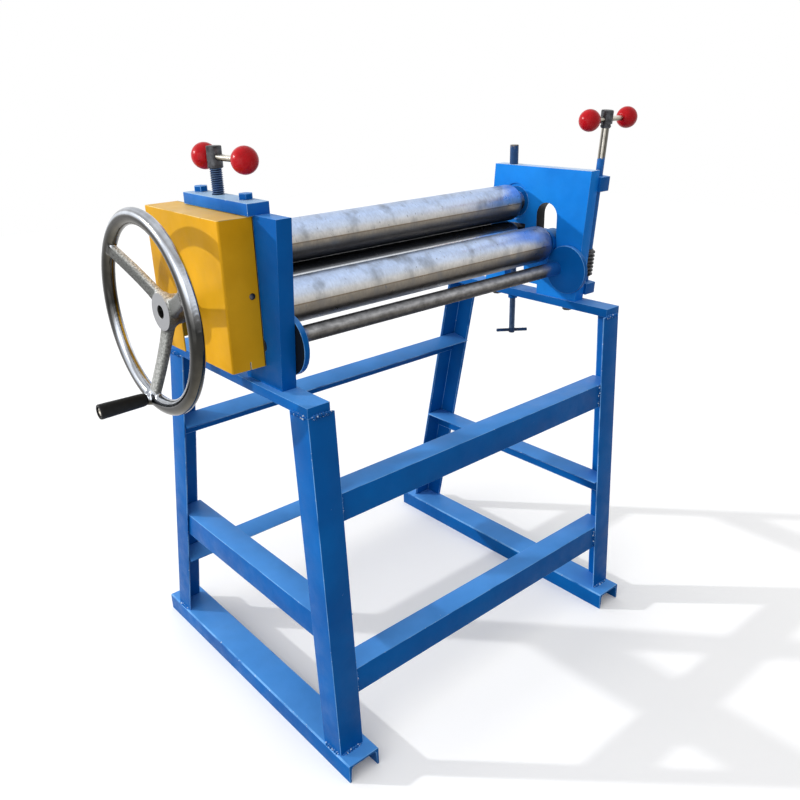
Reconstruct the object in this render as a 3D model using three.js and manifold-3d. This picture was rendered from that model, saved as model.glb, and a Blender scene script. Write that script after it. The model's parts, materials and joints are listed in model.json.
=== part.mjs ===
// Hand slip roll machine on a welded stand.
// Millimetres. X runs along the rolls from the handwheel to the worm side, Y runs back, Z is up.
// The camera side of the machine is -Y. The stand's soles lie in the plane z = 0.

import * as THREE from 'three';
import { mergeVertices } from 'three/addons/utils/BufferGeometryUtils.js';
import Module from 'manifold-3d';

const wasm = await Module();
wasm.setup();

// Stand
const standHalfWidth = 470;
const footLength = 820;
const footWidth = 80;
const footHeight = 45;
const footThickness = 6;
const footOverhang = 5;
const angleSize = 60;
const angleThickness = 5;
const legTopHeight = 817;
const frontLegInset = 35;
const frontLegTopY = -344;
const rearLegInset = 45;
const rearLegTopY = 200;
const topRailWidth = 50;
const topRailThickness = 20;
const upperRailTop = 643;
const lowerRailTop = 233;
const sideTieTop = 370;

// End plates
const plateInset = 14;
const plateThickness = 32;
const plateHeight = 322;
const plateFrontBottomY = -243;
const plateFrontTopY = -270;
const plateRearBottomY = 66;
const plateRearTopY = 36;
const archFrontY = -118;
const archRearY = 2;
const archHeight = 24;

// Rolls
const rollRadius = 45;
const rollShoulderGap = 16;
const rollEdgeRadius = 12;
const journalRadius = 25;
const gearSeatRadius = 20;
const pinchY = -38;
const lowerRollRise = 140;
const sheetGap = 1.5;

// Bending roll, its eccentric discs and their cross tube
const bendingY = -141;
const bendingRise = 138;
const bendingSlotRise = 67;
const bushWall = 6.7;
const followerRadius = 36;
const camPivotY = -188;
const camPivotRise = 80;
const camEccentricity = 30;
const camThickness = 12;
const camJournalRadius = 14;
const tubeRadius = 17;
const tubeWall = 3.2;

// Bearing blocks and adjusting screws of the pinch rolls
const blockHalfWidth = 33;
const blockHalfHeight = 36;
const fixedBushWall = 12.7;
const slimBushWall = 6.7;
const counterboreRadius = 46.5;
const counterboreDepth = 4;
const padRadius = 12;
const padThickness = 6;
const pressureScrewRadius = 12;
const pressureScrewRise = 78;
const pressureScrewOffset = -12;
const lowerScrewRadius = 8;
const lowerScrewDrop = 112;
const lowerScrewOffset = 16;
const lowerNutRadius = 12.5;
const lowerNutThickness = 12;
const lowerBarLength = 85;
const lowerBarRadius = 4.4;
const lowerBarTurn = -38;
const lockPinRadius = 11;
const lockPinRise = 48;
const lockPinDepth = 34;
const lockPinY = -13;

// Cap plate over the open slot of the left end plate
const capWidth = 46;
const capThickness = 22;
const capFrontY = -202;
const capBoltFrontY = -150;
const capBoltRearY = 18;
const capBoltRadius = 8;
const capBoltDepth = 24;
const plateBoltRadius = 7;
const plateBoltDepth = 22;
const plateBoltFrontY = -208;
const plateBoltRearY = 36;

// Roll gears
const rollGearModule = 3;
const rollGearTeeth = 30;
const rollGearWidth = 24;
const rollGearGap = 8;

// Gear cover
const coverDepth = 72;
const coverWall = 2.5;
const coverFrontY = -195;
const coverRearY = 92;
const coverBottomRise = 40;
const coverSlotHalfWidth = 31;
const coverSlotRise = 54;
const coverBendRadius = 4;
const coverCapGap = 1.5;
const coverScrewRadius = 4;
const coverScrewRise = 178;
const coverScrewInset = 16.5;
const coverSlitInset = 39;
const coverSlitHeight = 15;
const coverSlitWidth = 1.6;
const lugSize = 18;
const lugReach = 26;

// Handwheel and its grip
const wheelRadius = 198;
const wheelDish = 21;
const rimRadialHalf = 16;
const rimAxialHalf = 13;
const hubRadius = 37;
const hubNeckRadius = 30;
const hubLength = 48;
const hubCoverGap = 6;
const hubBoreRadius = 12.5;
const shaftRecess = 22;
const spokeCount = 3;
const spokeHalfWidth = 12;
const spokeHalfDepth = 7;
const spokeEdgeRadius = 4;
const gripAngle = -78;
const gripBossRadius = 13;
const gripBossRise = 19;
const gripRadius = 14;
const gripLength = 94;
const gripSpindleRadius = 6;
const gripHeadRadius = 8.5;
const gripRecessRadius = 10.5;
const gripRecessDepth = 7;

// Worm drive of the eccentric discs, on the outside of the right end plate
const wormModule = 3;
const wormWheelTeeth = 20;
const wormWheelWidth = 14;
const wormPitchRadius = 15;
const wormLength = 70;
const wormRise = 16;
const wormBlockGap = 14;
const wormPlateGap = 4.4;
const wormShaftRadius = 9;
const wormBlockDepth = 36;
const wormBlockHalfWidth = 23;
const wormUpperBlockOffset = 214;
const wormUpperBlockHeight = 34;
const wormLowerBlockHeight = 28;
const wormHandleOffset = 361;

// T-handles with ball knobs
const handleHubRadius = 14.5;
const handleHubHeight = 40;
const handleBarRadius = 6;
const handleBarHalfSpan = 75;
const knobRadius = 25;
const knobBoreDepth = 18;
const pressureBarSlide = -35;
const wormBarSlide = 8;

// Clearances
const fit = 0.3;
const endPlay = 2;

// Fineness of round surfaces
const rollSegments = 28;
const roundSegments = 28;
const smallSegments = 16;
const mediumSegments = 24;

// Sizes that follow from the ones above. A rise is a height above the top rails.
const frontLegFootY = -footLength / 2 + frontLegInset;
const rearLegFootY = footLength / 2 - rearLegInset;
const railTopZ = legTopHeight + topRailThickness;
const plateTopZ = railTopZ + plateHeight;
const plateOuterX = standHalfWidth - plateInset;
const plateInnerX = plateOuterX - plateThickness;
const plateMiddleX = plateInnerX + plateThickness / 2;
const rollLength = 2 * (plateInnerX - rollShoulderGap);
const pressureScrewY = pinchY + pressureScrewOffset;
const lowerScrewY = pinchY + lowerScrewOffset;
const lowerRollZ = railTopZ + lowerRollRise;
const bendingZ = railTopZ + bendingRise;
const camPivotZ = railTopZ + camPivotRise;
const coverBottomZ = railTopZ + coverBottomRise;
const coverSlotTopZ = lowerRollZ + coverSlotRise;
const coverScrewZ = railTopZ + coverScrewRise;
const upperRollZ = lowerRollZ + 2 * rollRadius + sheetGap;
const slotRadius = journalRadius + bushWall + 2 * fit;
const camReach = bendingY - (camPivotY - camEccentricity);
const camContact = Math.hypot(camReach, bendingZ - camPivotZ);
const camRadius = camContact - followerRadius - fit;
const camOuterX = plateInnerX - 1.5;
const camInnerX = camOuterX - camThickness;
const gearNearX = -(plateOuterX + rollGearGap);
const gearFarX = gearNearX - rollGearWidth;
const coverFarX = -(plateOuterX + coverDepth);
const coverTopZ = plateTopZ - coverCapGap;
const capTopZ = plateTopZ + capThickness;
const hubBackX = coverFarX - hubCoverGap;
const hubFaceX = hubBackX - hubLength;
const wheelRimX = hubFaceX - wheelDish;
const leanAngle = Math.atan2(plateFrontBottomY - plateFrontTopY, plateHeight);
const wormWheelPitchRadius = wormModule * wormWheelTeeth / 2;
const wormAddendum = 0.8 * wormModule;
const wormDedendum = 1.2 * wormModule;
const wormOuterRadius = wormPitchRadius + wormAddendum;
const wormAxisX = plateOuterX + wormOuterRadius + wormPlateGap;
const wormCentreDistance = wormWheelPitchRadius + wormPitchRadius;
const wormPitch = Math.PI * wormModule;
const wormLeadTangent = wormPitch / (2 * Math.PI * wormPitchRadius);

// Colours and finishes
const bluePaint = { color: 0x1f6fc4, roughness: 0.45, metalness: 0.0 };
const yellowPaint = { color: 0xe9a923, roughness: 0.5, metalness: 0.0 };
const turnedSteel = { color: 0xa9adb2, roughness: 0.38, metalness: 0.9 };
const darkSteel = { color: 0x45474a, roughness: 0.5, metalness: 0.8 };
const platedCasting = { color: 0xb9bab6, roughness: 0.3, metalness: 0.9 };
const redPlastic = { color: 0xc91f2b, roughness: 0.2, metalness: 0.0 };
const blackPlastic = { color: 0x17181a, roughness: 0.45, metalness: 0.0 };
const bronze = { color: 0xa8773a, roughness: 0.45, metalness: 0.85 };

const machine = new THREE.Group();

// Adds one named sub-part with a material of its own
function addPart(name, geometry, finish, parent = machine) {
  const mesh = new THREE.Mesh(geometry, new THREE.MeshStandardMaterial(finish));
  mesh.name = name;
  parent.add(mesh);
  return mesh;
}

// Closed shell: shared corners merged, flat triangles dropped, faces turned outwards
function closedShell(geometry) {
  const bare = geometry.clone();
  bare.deleteAttribute('normal');
  bare.deleteAttribute('uv');
  const merged = mergeVertices(bare, 1e-4);
  const position = merged.getAttribute('position');
  const index = merged.getIndex();
  const corners = [];
  const a = new THREE.Vector3();
  const b = new THREE.Vector3();
  const c = new THREE.Vector3();
  let volume = 0;
  for (let i = 0; i < index.count; i += 3) {
    const [p, q, r] = [index.getX(i), index.getX(i + 1), index.getX(i + 2)];
    if (p === q || q === r || r === p) {
      continue;
    }
    corners.push(p, q, r);
    a.fromBufferAttribute(position, p);
    b.fromBufferAttribute(position, q);
    c.fromBufferAttribute(position, r);
    volume += a.dot(b.cross(c));
  }
  if (volume < 0) {
    corners.reverse();
  }
  const shell = new THREE.BufferGeometry();
  shell.setAttribute('position', position);
  shell.setIndex(corners);
  return shell;
}

function toSolid(geometry) {
  const shell = closedShell(geometry);
  const vertProperties = new Float32Array(shell.getAttribute('position').array);
  const triVerts = new Uint32Array(shell.getIndex().array);
  return new wasm.Manifold(new wasm.Mesh({ numProp: 3, vertProperties, triVerts }));
}

function fromSolid(solid) {
  const mesh = solid.getMesh();
  const geometry = new THREE.BufferGeometry();
  geometry.setAttribute('position', new THREE.BufferAttribute(mesh.vertProperties, 3));
  geometry.setIndex(new THREE.BufferAttribute(mesh.triVerts, 1));
  return geometry;
}

function cut(body, tools) {
  const solid = tools.reduce((rest, tool) => rest.subtract(toSolid(tool)), toSolid(body));
  return fromSolid(solid);
}

function join(parts) {
  const [first, ...rest] = parts.map(toSolid);
  return fromSolid(rest.reduce((sum, part) => sum.add(part), first));
}

function block(x0, x1, y0, y1, z0, z1) {
  const box = new THREE.BoxGeometry(x1 - x0, y1 - y0, z1 - z0);
  return box.translate((x0 + x1) / 2, (y0 + y1) / 2, (z0 + z1) / 2);
}

// Round bar along X, Y or Z between two places on that axis
function bar(axis, radius, from, to, centre, segments = smallSegments) {
  const cylinder = new THREE.CylinderGeometry(radius, radius, to - from, segments);
  cylinder.translate(0, (from + to) / 2, 0);
  if (axis === 'x') {
    cylinder.rotateZ(-Math.PI / 2);
    return cylinder.translate(0, centre[0], centre[1]);
  }
  if (axis === 'z') {
    cylinder.rotateX(Math.PI / 2);
    return cylinder.translate(centre[0], centre[1], 0);
  }
  return cylinder.translate(centre[0], 0, centre[1]);
}

// Solid turned about the X axis from a profile of [x, radius] points
function turned(profile, segments = roundSegments) {
  const points = profile.map(([x, radius]) => new THREE.Vector2(radius, x));
  const lathe = new THREE.LatheGeometry(points, segments);
  return closedShell(lathe.rotateZ(-Math.PI / 2));
}

// Bush or sleeve about the X axis
function sleeve(x0, x1, inner, outer, segments = roundSegments) {
  return turned([[x0, inner], [x0, outer], [x1, outer], [x1, inner], [x0, inner]], segments);
}

// Rounded corner of a turned profile, from one [x, radius] point round to another
function roundedEdge(centreX, centreRadius, size, fromDegrees, steps = 2) {
  const points = [];
  for (let i = 0; i <= steps; i += 1) {
    const angle = THREE.MathUtils.degToRad(fromDegrees - 90 * i / steps);
    points.push([centreX + size * Math.cos(angle), centreRadius + size * Math.sin(angle)]);
  }
  return points;
}

function polygon(points) {
  return new THREE.Shape(points.map(([x, y]) => new THREE.Vector2(x, y)));
}

// Points of an arc between two angles in degrees
function arc(x, y, radius, from, to, steps) {
  const points = [];
  for (let i = 0; i <= steps; i += 1) {
    const angle = THREE.MathUtils.degToRad(from + (to - from) * i / steps);
    points.push([x + radius * Math.cos(angle), y + radius * Math.sin(angle)]);
  }
  return points;
}

function circle(x, y, radius, segments) {
  return polygon(arc(x, y, radius, 0, -360, segments).slice(1));
}

function extruded(shape, depth) {
  return new THREE.ExtrudeGeometry(shape, { depth, bevelEnabled: false });
}

// Shape drawn in (Y, Z), extruded along X from x0 to x1
function extrudedAlongX(shape, x0, x1) {
  const toX = new THREE.Matrix4().makeBasis(
    new THREE.Vector3(0, 1, 0), new THREE.Vector3(0, 0, 1), new THREE.Vector3(1, 0, 0));
  return extruded(shape, x1 - x0).applyMatrix4(toX).translate(x0, 0, 0);
}

// Shape drawn in (X, Z), extruded along Y from y0 to y1
function extrudedAlongY(shape, y0, y1) {
  const toY = new THREE.Matrix4().makeBasis(
    new THREE.Vector3(1, 0, 0), new THREE.Vector3(0, 0, 1), new THREE.Vector3(0, -1, 0));
  return extruded(shape, y1 - y0).applyMatrix4(toY).translate(0, y1, 0);
}

function hexagon(radius) {
  const points = [];
  for (let i = 0; i < 6; i += 1) {
    points.push([radius * Math.cos(i * Math.PI / 3), radius * Math.sin(i * Math.PI / 3)]);
  }
  return polygon(points);
}

// Rolled angle section with its corner at (0, 0) and flanges along +u and +v
function angleSection(size = angleSize, thickness = angleThickness) {
  const toe = thickness * 0.6;
  return [
    [0, 0], [size, 0], [size, thickness - toe], [size - toe, thickness], [thickness, thickness],
    [thickness, size - toe], [thickness - toe, size], [0, size],
  ];
}

// Stand: two channel feet, four angle legs, two top rails, ties and rails between the legs

function footGeometry(side) {
  const outer = side * (standHalfWidth + footOverhang);
  const inner = outer - side * footWidth;
  const [x0, x1] = [Math.min(outer, inner), Math.max(outer, inner)];
  const t = footThickness;
  const fillet = t * 0.7;
  const section = polygon([
    [x0, 0], [x0 + t * 0.8, 0], [x0 + t * 1.2, footHeight - t - fillet],
    [x0 + t * 1.2 + fillet, footHeight - t], [x1 - t * 1.2 - fillet, footHeight - t],
    [x1 - t * 1.2, footHeight - t - fillet], [x1 - t * 0.8, 0], [x1, 0],
    [x1, footHeight - 2], [x1 - 2, footHeight], [x0 + 2, footHeight], [x0, footHeight - 2],
  ]);
  return extrudedAlongY(section, -footLength / 2, footLength / 2);
}

function legSlope(footY, topY) {
  return (topY - footY) / (legTopHeight - footHeight);
}

function frontLegY(z) {
  return frontLegFootY + legSlope(frontLegFootY, frontLegTopY) * (z - footHeight);
}

function rearLegY(z) {
  return rearLegFootY + legSlope(rearLegFootY, rearLegTopY) * (z - footHeight);
}

function legGeometry(side, end) {
  const isFront = end === 'front';
  const corner = isFront ? frontLegFootY : rearLegFootY;
  const slope = isFront ? legSlope(frontLegFootY, frontLegTopY) : legSlope(rearLegFootY, rearLegTopY);
  const inward = isFront ? 1 : -1;
  const section = polygon(angleSection().map(([u, v]) => [-side * u, inward * v]));
  const leg = extruded(section, legTopHeight - footHeight);
  const lean = new THREE.Matrix4().set(1, 0, 0, 0, 0, 1, slope, 0, 0, 0, 1, 0, 0, 0, 0, 1);
  leg.applyMatrix4(lean);
  return closedShell(leg.translate(side * standHalfWidth, corner, footHeight));
}

// Angle rail along X, lying flat against the inner face of the leaning legs
function crossRailGeometry(end, topZ) {
  const isFront = end === 'front';
  const slope = isFront ? legSlope(frontLegFootY, frontLegTopY) : legSlope(rearLegFootY, rearLegTopY);
  const inward = isFront ? 1 : -1;
  const lean = Math.atan(slope);
  const faceY = isFront ? frontLegY(topZ) : rearLegY(topZ);
  const standOff = (angleThickness + fit) / Math.cos(lean);
  const halfLength = standHalfWidth - angleThickness - fit;
  const section = polygon(angleSection().map(([u, v]) => [inward * u, -v]));
  const rail = extrudedAlongX(section, -halfLength, halfLength);
  rail.rotateX(-lean);
  return closedShell(rail.translate(0, faceY + inward * standOff, topZ));
}

// Angle tie along Y inside the outer flanges of the front and rear legs, its ends cut to their lean
function sideTieGeometry(side) {
  const section = polygon(angleSection().map(([u, v]) => [-side * u, -v]));
  const tie = extrudedAlongY(section, 0, 1);
  tie.translate(side * (standHalfWidth - angleThickness - fit), 0, sideTieTop);
  const position = tie.getAttribute('position');
  for (let i = 0; i < position.count; i += 1) {
    const z = position.getZ(i);
    const frontY = frontLegY(z) + angleThickness + fit;
    const rearY = rearLegY(z) - angleThickness - fit;
    position.setY(i, position.getY(i) < 0.5 ? frontY : rearY);
  }
  return closedShell(tie);
}

function topRailGeometry(side) {
  const outer = side * standHalfWidth;
  const inner = outer - side * topRailWidth;
  const rail = block(
    Math.min(outer, inner), Math.max(outer, inner), frontLegTopY, rearLegTopY, legTopHeight, railTopZ);
  const holes = [plateBoltFrontY, plateBoltRearY].map((y) => bar(
    'z', plateBoltRadius + fit, legTopHeight - 1, railTopZ + 1, [side * plateMiddleX, y]));
  if (side < 0) {
    return cut(rail, holes);
  }
  const nutBottomZ = legTopHeight - lowerNutThickness;
  const nut = bar('z', lowerNutRadius, nutBottomZ, legTopHeight + 1, [plateMiddleX, lowerScrewY]);
  const screwHole = bar(
    'z', lowerScrewRadius + fit, nutBottomZ - 1, railTopZ + 1, [plateMiddleX, lowerScrewY]);
  return cut(join([rail, nut]), [...holes, screwHole]);
}

for (const [side, word] of [[-1, 'left'], [1, 'right']]) {
  addPart(`foot_${word}`, footGeometry(side), bluePaint);
  addPart(`leg_front_${word}`, legGeometry(side, 'front'), bluePaint);
  addPart(`leg_rear_${word}`, legGeometry(side, 'rear'), bluePaint);
  addPart(`top_rail_${word}`, topRailGeometry(side), bluePaint);
  addPart(`side_tie_${word}`, sideTieGeometry(side), bluePaint);
}
addPart('rail_front_upper', crossRailGeometry('front', upperRailTop), bluePaint);
addPart('rail_front_lower', crossRailGeometry('front', lowerRailTop), bluePaint);
addPart('rail_rear_upper', crossRailGeometry('rear', upperRailTop), bluePaint);
addPart('rail_rear_lower', crossRailGeometry('rear', lowerRailTop), bluePaint);

// End plates: leaning front edge, arch over the top rail, slots and bores for the bearings

function bendingSlot() {
  const steps = roundSegments / 2;
  return polygon([
    ...arc(bendingY, bendingZ - fit, slotRadius, 0, -180, steps),
    ...arc(bendingY, bendingZ + bendingSlotRise, slotRadius, 180, 0, steps),
  ]);
}

function plateOutline(side) {
  const slotFront = pinchY - blockHalfWidth - fit;
  const slotRear = pinchY + blockHalfWidth + fit;
  const archTop = railTopZ + archHeight;
  const points = [[plateFrontBottomY, railTopZ], [archFrontY, railTopZ], [archFrontY, archTop]];
  if (side > 0) {
    const slotTop = lowerRollZ + blockHalfHeight + fit;
    points.push([slotFront, archTop], [slotFront, slotTop], [slotRear, slotTop], [slotRear, archTop]);
  }
  points.push([archRearY, archTop], [archRearY, railTopZ], [plateRearBottomY, railTopZ]);
  points.push([plateRearTopY, plateTopZ]);
  if (side < 0) {
    const slotBottom = upperRollZ - blockHalfHeight - fit;
    points.push([slotRear, plateTopZ], [slotRear, slotBottom]);
    points.push([slotFront, slotBottom], [slotFront, plateTopZ]);
  }
  points.push([plateFrontTopY, plateTopZ]);
  return polygon(points);
}

function plateGeometry(side) {
  const outline = plateOutline(side);
  const boreZ = side < 0 ? lowerRollZ : upperRollZ;
  const boreWall = side < 0 ? slimBushWall : fixedBushWall;
  outline.holes.push(bendingSlot());
  outline.holes.push(circle(camPivotY, camPivotZ, camJournalRadius + fit, mediumSegments));
  outline.holes.push(circle(pinchY, boreZ, journalRadius + fit + boreWall + fit, roundSegments));
  const [x0, x1] = side < 0 ? [-plateOuterX, -plateInnerX] : [plateInnerX, plateOuterX];
  const plate = extrudedAlongX(outline, x0, x1);
  const middle = side * plateMiddleX;
  const tools = [plateBoltFrontY, plateBoltRearY].map((y) => bar(
    'z', plateBoltRadius + fit, railTopZ - 1, railTopZ + plateBoltDepth + 1, [middle, y]));
  if (side < 0) {
    for (const y of [capBoltFrontY, capBoltRearY]) {
      tools.push(bar('z', capBoltRadius + fit, plateTopZ - capBoltDepth - 1, plateTopZ + 1, [middle, y]));
    }
  } else {
    tools.push(bar(
      'x', counterboreRadius, plateInnerX - 1, plateInnerX + counterboreDepth,
      [pinchY, upperRollZ], roundSegments));
    tools.push(bar(
      'z', lockPinRadius + fit, plateTopZ - lockPinDepth - fit, plateTopZ + 1, [middle, lockPinY]));
  }
  return cut(plate, tools);
}

// Lug welded to the left plate, which takes the screw of the cover's front wall
function coverLugGeometry() {
  const lugFrontY = coverFrontY + coverWall + fit;
  const nearX = -plateOuterX;
  return block(
    nearX - lugReach, nearX + 1, lugFrontY, lugFrontY + lugSize,
    coverScrewZ - lugSize / 2, coverScrewZ + lugSize / 2);
}

const coverScrewX = -(plateOuterX + coverScrewInset);
const coverScrewHole = bar(
  'y', coverScrewRadius + fit, coverFrontY - 1, coverFrontY + lugSize, [coverScrewX, coverScrewZ]);
addPart(
  'end_plate_left', cut(join([plateGeometry(-1), coverLugGeometry()]), [coverScrewHole]), bluePaint);
addPart('end_plate_right', plateGeometry(1), bluePaint);

// Bolts: hexagon head on a plain shank that points up or down from the seat of the head
function boltGeometry(radius, shankLength, shankDirection) {
  const headHeight = radius * 1.3;
  const head = extruded(hexagon(radius * 1.75), headHeight);
  const shank = bar('z', radius, 0, shankLength, [0, 0]);
  const bolt = join([head.translate(0, 0, -headHeight), shank.translate(0, 0, -0.5)]);
  return shankDirection > 0 ? bolt : bolt.rotateX(Math.PI);
}

for (const [side, word] of [[-1, 'left'], [1, 'right']]) {
  for (const [y, place] of [[plateBoltFrontY, 'front'], [plateBoltRearY, 'rear']]) {
    const shank = topRailThickness + plateBoltDepth;
    const bolt = addPart(`plate_bolt_${word}_${place}`, boltGeometry(plateBoltRadius, shank, 1), darkSteel);
    bolt.position.set(side * plateMiddleX, y, legTopHeight - fit);
  }
}

function capGeometry() {
  const middle = -plateMiddleX;
  const holes = [capBoltFrontY, capBoltRearY].map((y) => bar(
    'z', capBoltRadius + fit, plateTopZ - 1, capTopZ + 1, [middle, y]));
  holes.push(bar(
    'z', pressureScrewRadius + fit, plateTopZ - 1, capTopZ + 1, [middle, pressureScrewY],
    roundSegments));
  const cap = block(
    -plateInnerX - capWidth, -plateInnerX, capFrontY, plateRearTopY, plateTopZ, capTopZ);
  return cut(cap, holes);
}

addPart('cap_plate', capGeometry(), bluePaint);
for (const [y, place] of [[capBoltFrontY, 'front'], [capBoltRearY, 'rear']]) {
  const shank = capThickness + capBoltDepth - 1;
  const bolt = addPart(`cap_bolt_${place}`, boltGeometry(capBoltRadius, shank, -1), bluePaint);
  bolt.position.set(-plateMiddleX, y, capTopZ + fit);
}

// Rolls: one turned solid each, with rounded shoulders and stepped journals

function rollBody() {
  const end = rollLength / 2;
  const r = rollEdgeRadius;
  const left = roundedEdge(-end + r, rollRadius - r, r, 180);
  const right = roundedEdge(end - r, rollRadius - r, r, 90);
  return [...left, ...right];
}

function pinchRollProfile(leftSteps, rightEnd) {
  const left = [];
  for (const [x, radius] of leftSteps) {
    const previous = left.length ? left[left.length - 1][1] : 0;
    left.push([x, previous], [x, radius]);
  }
  return [
    ...left, [-rollLength / 2, journalRadius], ...rollBody(),
    [rollLength / 2, journalRadius], [rightEnd, journalRadius], [rightEnd, 0],
  ];
}

const journalEndX = plateOuterX - 1;
const shaftStepX = -(plateOuterX + endPlay);
const upperRoll = turned(pinchRollProfile(
  [[gearFarX - endPlay, gearSeatRadius], [shaftStepX, journalRadius]], journalEndX), rollSegments);
addPart('upper_roll', upperRoll.translate(0, pinchY, upperRollZ), turnedSteel);

const wheelSeatX = hubFaceX + shaftRecess;
const lowerRoll = turned(pinchRollProfile([
  [wheelSeatX, hubBoreRadius - fit], [hubBackX + fit, gearSeatRadius], [shaftStepX, journalRadius],
], journalEndX), rollSegments);
addPart('lower_roll', lowerRoll.translate(0, pinchY, lowerRollZ), turnedSteel);

const bendingRoll = turned([
  [-journalEndX, 0], [-journalEndX, journalRadius], [-rollLength / 2, journalRadius], ...rollBody(),
  [rollLength / 2, journalRadius], [journalEndX, journalRadius], [journalEndX, 0],
], rollSegments);
addPart('bending_roll', bendingRoll.translate(0, bendingY, bendingZ), turnedSteel);

// Bearings of the pinch rolls

function bearingBlockGeometry(side, z) {
  const [x0, x1] = side < 0 ? [-plateOuterX, -plateInnerX] : [plateInnerX, plateOuterX];
  const body = block(
    x0, x1, pinchY - blockHalfWidth, pinchY + blockHalfWidth, z - blockHalfHeight, z + blockHalfHeight);
  const bore = bar('x', journalRadius + fit, x0 - 1, x1 + 1, [pinchY, z], roundSegments);
  return cut(body, [bore]);
}

addPart('upper_bearing_block', bearingBlockGeometry(-1, upperRollZ), darkSteel);
addPart('lower_bearing_block', bearingBlockGeometry(1, lowerRollZ), darkSteel);

const upperBush = sleeve(
  plateInnerX + counterboreDepth, plateOuterX, journalRadius + fit, journalRadius + fit + fixedBushWall);
addPart('upper_bearing_bush', upperBush.translate(0, pinchY, upperRollZ), bronze);
const lowerBush = sleeve(
  -plateOuterX, -plateInnerX, journalRadius + fit, journalRadius + fit + slimBushWall);
addPart('lower_bearing_bush', lowerBush.translate(0, pinchY, lowerRollZ), bronze);

const lockPin = bar(
  'z', lockPinRadius, plateTopZ - lockPinDepth, plateTopZ + lockPinRise, [plateMiddleX, lockPinY]);
addPart('bearing_lock_pin', lockPin, bluePaint);

// Involute-like spur gear outline, teeth listed from a tooth centre at startAngle
function gearShape(teeth, module, options) {
  const { startAngle, addendum, dedendum, thickness, flankSteps } = options;
  const pitchRadius = teeth * module / 2;
  const baseRadius = pitchRadius * Math.cos(THREE.MathUtils.degToRad(20));
  const rootRadius = pitchRadius - dedendum;
  const tipRadius = pitchRadius + addendum;
  const involute = (radius) => {
    const roll = Math.sqrt(Math.max(0, (radius / baseRadius) ** 2 - 1));
    return roll - Math.atan(roll);
  };
  const halfAngle = (radius) => (
    thickness / 2 / pitchRadius + involute(pitchRadius) - involute(Math.max(radius, baseRadius)));
  const points = [];
  for (let i = 0; i < teeth; i += 1) {
    const centre = startAngle + 2 * Math.PI * i / teeth;
    for (let k = 0; k <= flankSteps; k += 1) {
      const radius = rootRadius + (tipRadius - rootRadius) * k / flankSteps;
      const angle = centre - halfAngle(radius);
      points.push([radius * Math.cos(angle), radius * Math.sin(angle)]);
    }
    for (let k = flankSteps; k >= 0; k -= 1) {
      const radius = rootRadius + (tipRadius - rootRadius) * k / flankSteps;
      const angle = centre + halfAngle(radius);
      points.push([radius * Math.cos(angle), radius * Math.sin(angle)]);
    }
  }
  return polygon(points);
}

function rollGearGeometry(startAngle) {
  const shape = gearShape(rollGearTeeth, rollGearModule, {
    startAngle,
    addendum: rollGearModule,
    dedendum: 1.25 * rollGearModule,
    thickness: 0.46 * Math.PI * rollGearModule,
    flankSteps: 1,
  });
  shape.holes.push(circle(0, 0, gearSeatRadius + fit, mediumSegments));
  return extrudedAlongX(shape, gearFarX, gearNearX);
}

const lowerGear = rollGearGeometry(Math.PI / 2);
addPart('lower_roll_gear', lowerGear.translate(0, pinchY, lowerRollZ), darkSteel);
const upperGear = rollGearGeometry(-Math.PI / 2 + Math.PI / rollGearTeeth);
addPart('upper_roll_gear', upperGear.translate(0, pinchY, upperRollZ), darkSteel);

// Bending roll carriers: a stepped bush whose body slides in the plate's slot and whose
// wider rim rests on the eccentric disc

function bendingBushGeometry(side) {
  const inner = journalRadius + fit;
  const body = inner + bushWall;
  const rimInner = camInnerX;
  const rimOuter = camOuterX;
  const profile = [
    [rimInner, inner], [rimInner, followerRadius], [rimOuter, followerRadius], [rimOuter, body],
    [plateOuterX, body], [plateOuterX, inner], [rimInner, inner],
  ];
  return turned(profile.map(([x, radius]) => [side * x, radius]));
}

for (const [side, word] of [[-1, 'left'], [1, 'right']]) {
  const bush = bendingBushGeometry(side);
  addPart(`bending_bush_${word}`, bush.translate(0, bendingY, bendingZ), bronze);
}

// Eccentric discs with their journals, joined by the cross tube on the journals' axis

function camGeometry(side) {
  const discY = camPivotY - camEccentricity;
  const [x0, x1] = side < 0 ? [-camOuterX, -camInnerX] : [camInnerX, camOuterX];
  const disc = bar('x', camRadius, x0, x1, [discY, camPivotZ], rollSegments);
  const journalEnd = side < 0 ? journalEndX : wormAxisX + wormWheelWidth / 2;
  const [j0, j1] = side < 0 ? [-journalEnd, x0 + 1] : [x1 - 1, journalEnd];
  const journal = bar('x', camJournalRadius, j0, j1, [camPivotY, camPivotZ], mediumSegments);
  return join([disc, journal]);
}

addPart('cam_disc_left', camGeometry(-1), bluePaint);
addPart('cam_disc_right', camGeometry(1), bluePaint);
const crossTube = sleeve(
  -camInnerX + fit, camInnerX - fit, tubeRadius - tubeWall, tubeRadius, mediumSegments);
addPart('cross_tube', crossTube.translate(0, camPivotY, camPivotZ), turnedSteel);

// Worm drive. Its group leans with the plate's front edge: local z runs up the worm shaft,
// local y points from the shaft to the worm wheel's centre.

const wormDrive = new THREE.Group();
wormDrive.position.set(
  wormAxisX,
  camPivotY - wormCentreDistance * Math.cos(leanAngle),
  camPivotZ - wormCentreDistance * Math.sin(leanAngle));
wormDrive.rotation.x = leanAngle;
machine.add(wormDrive);

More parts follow.
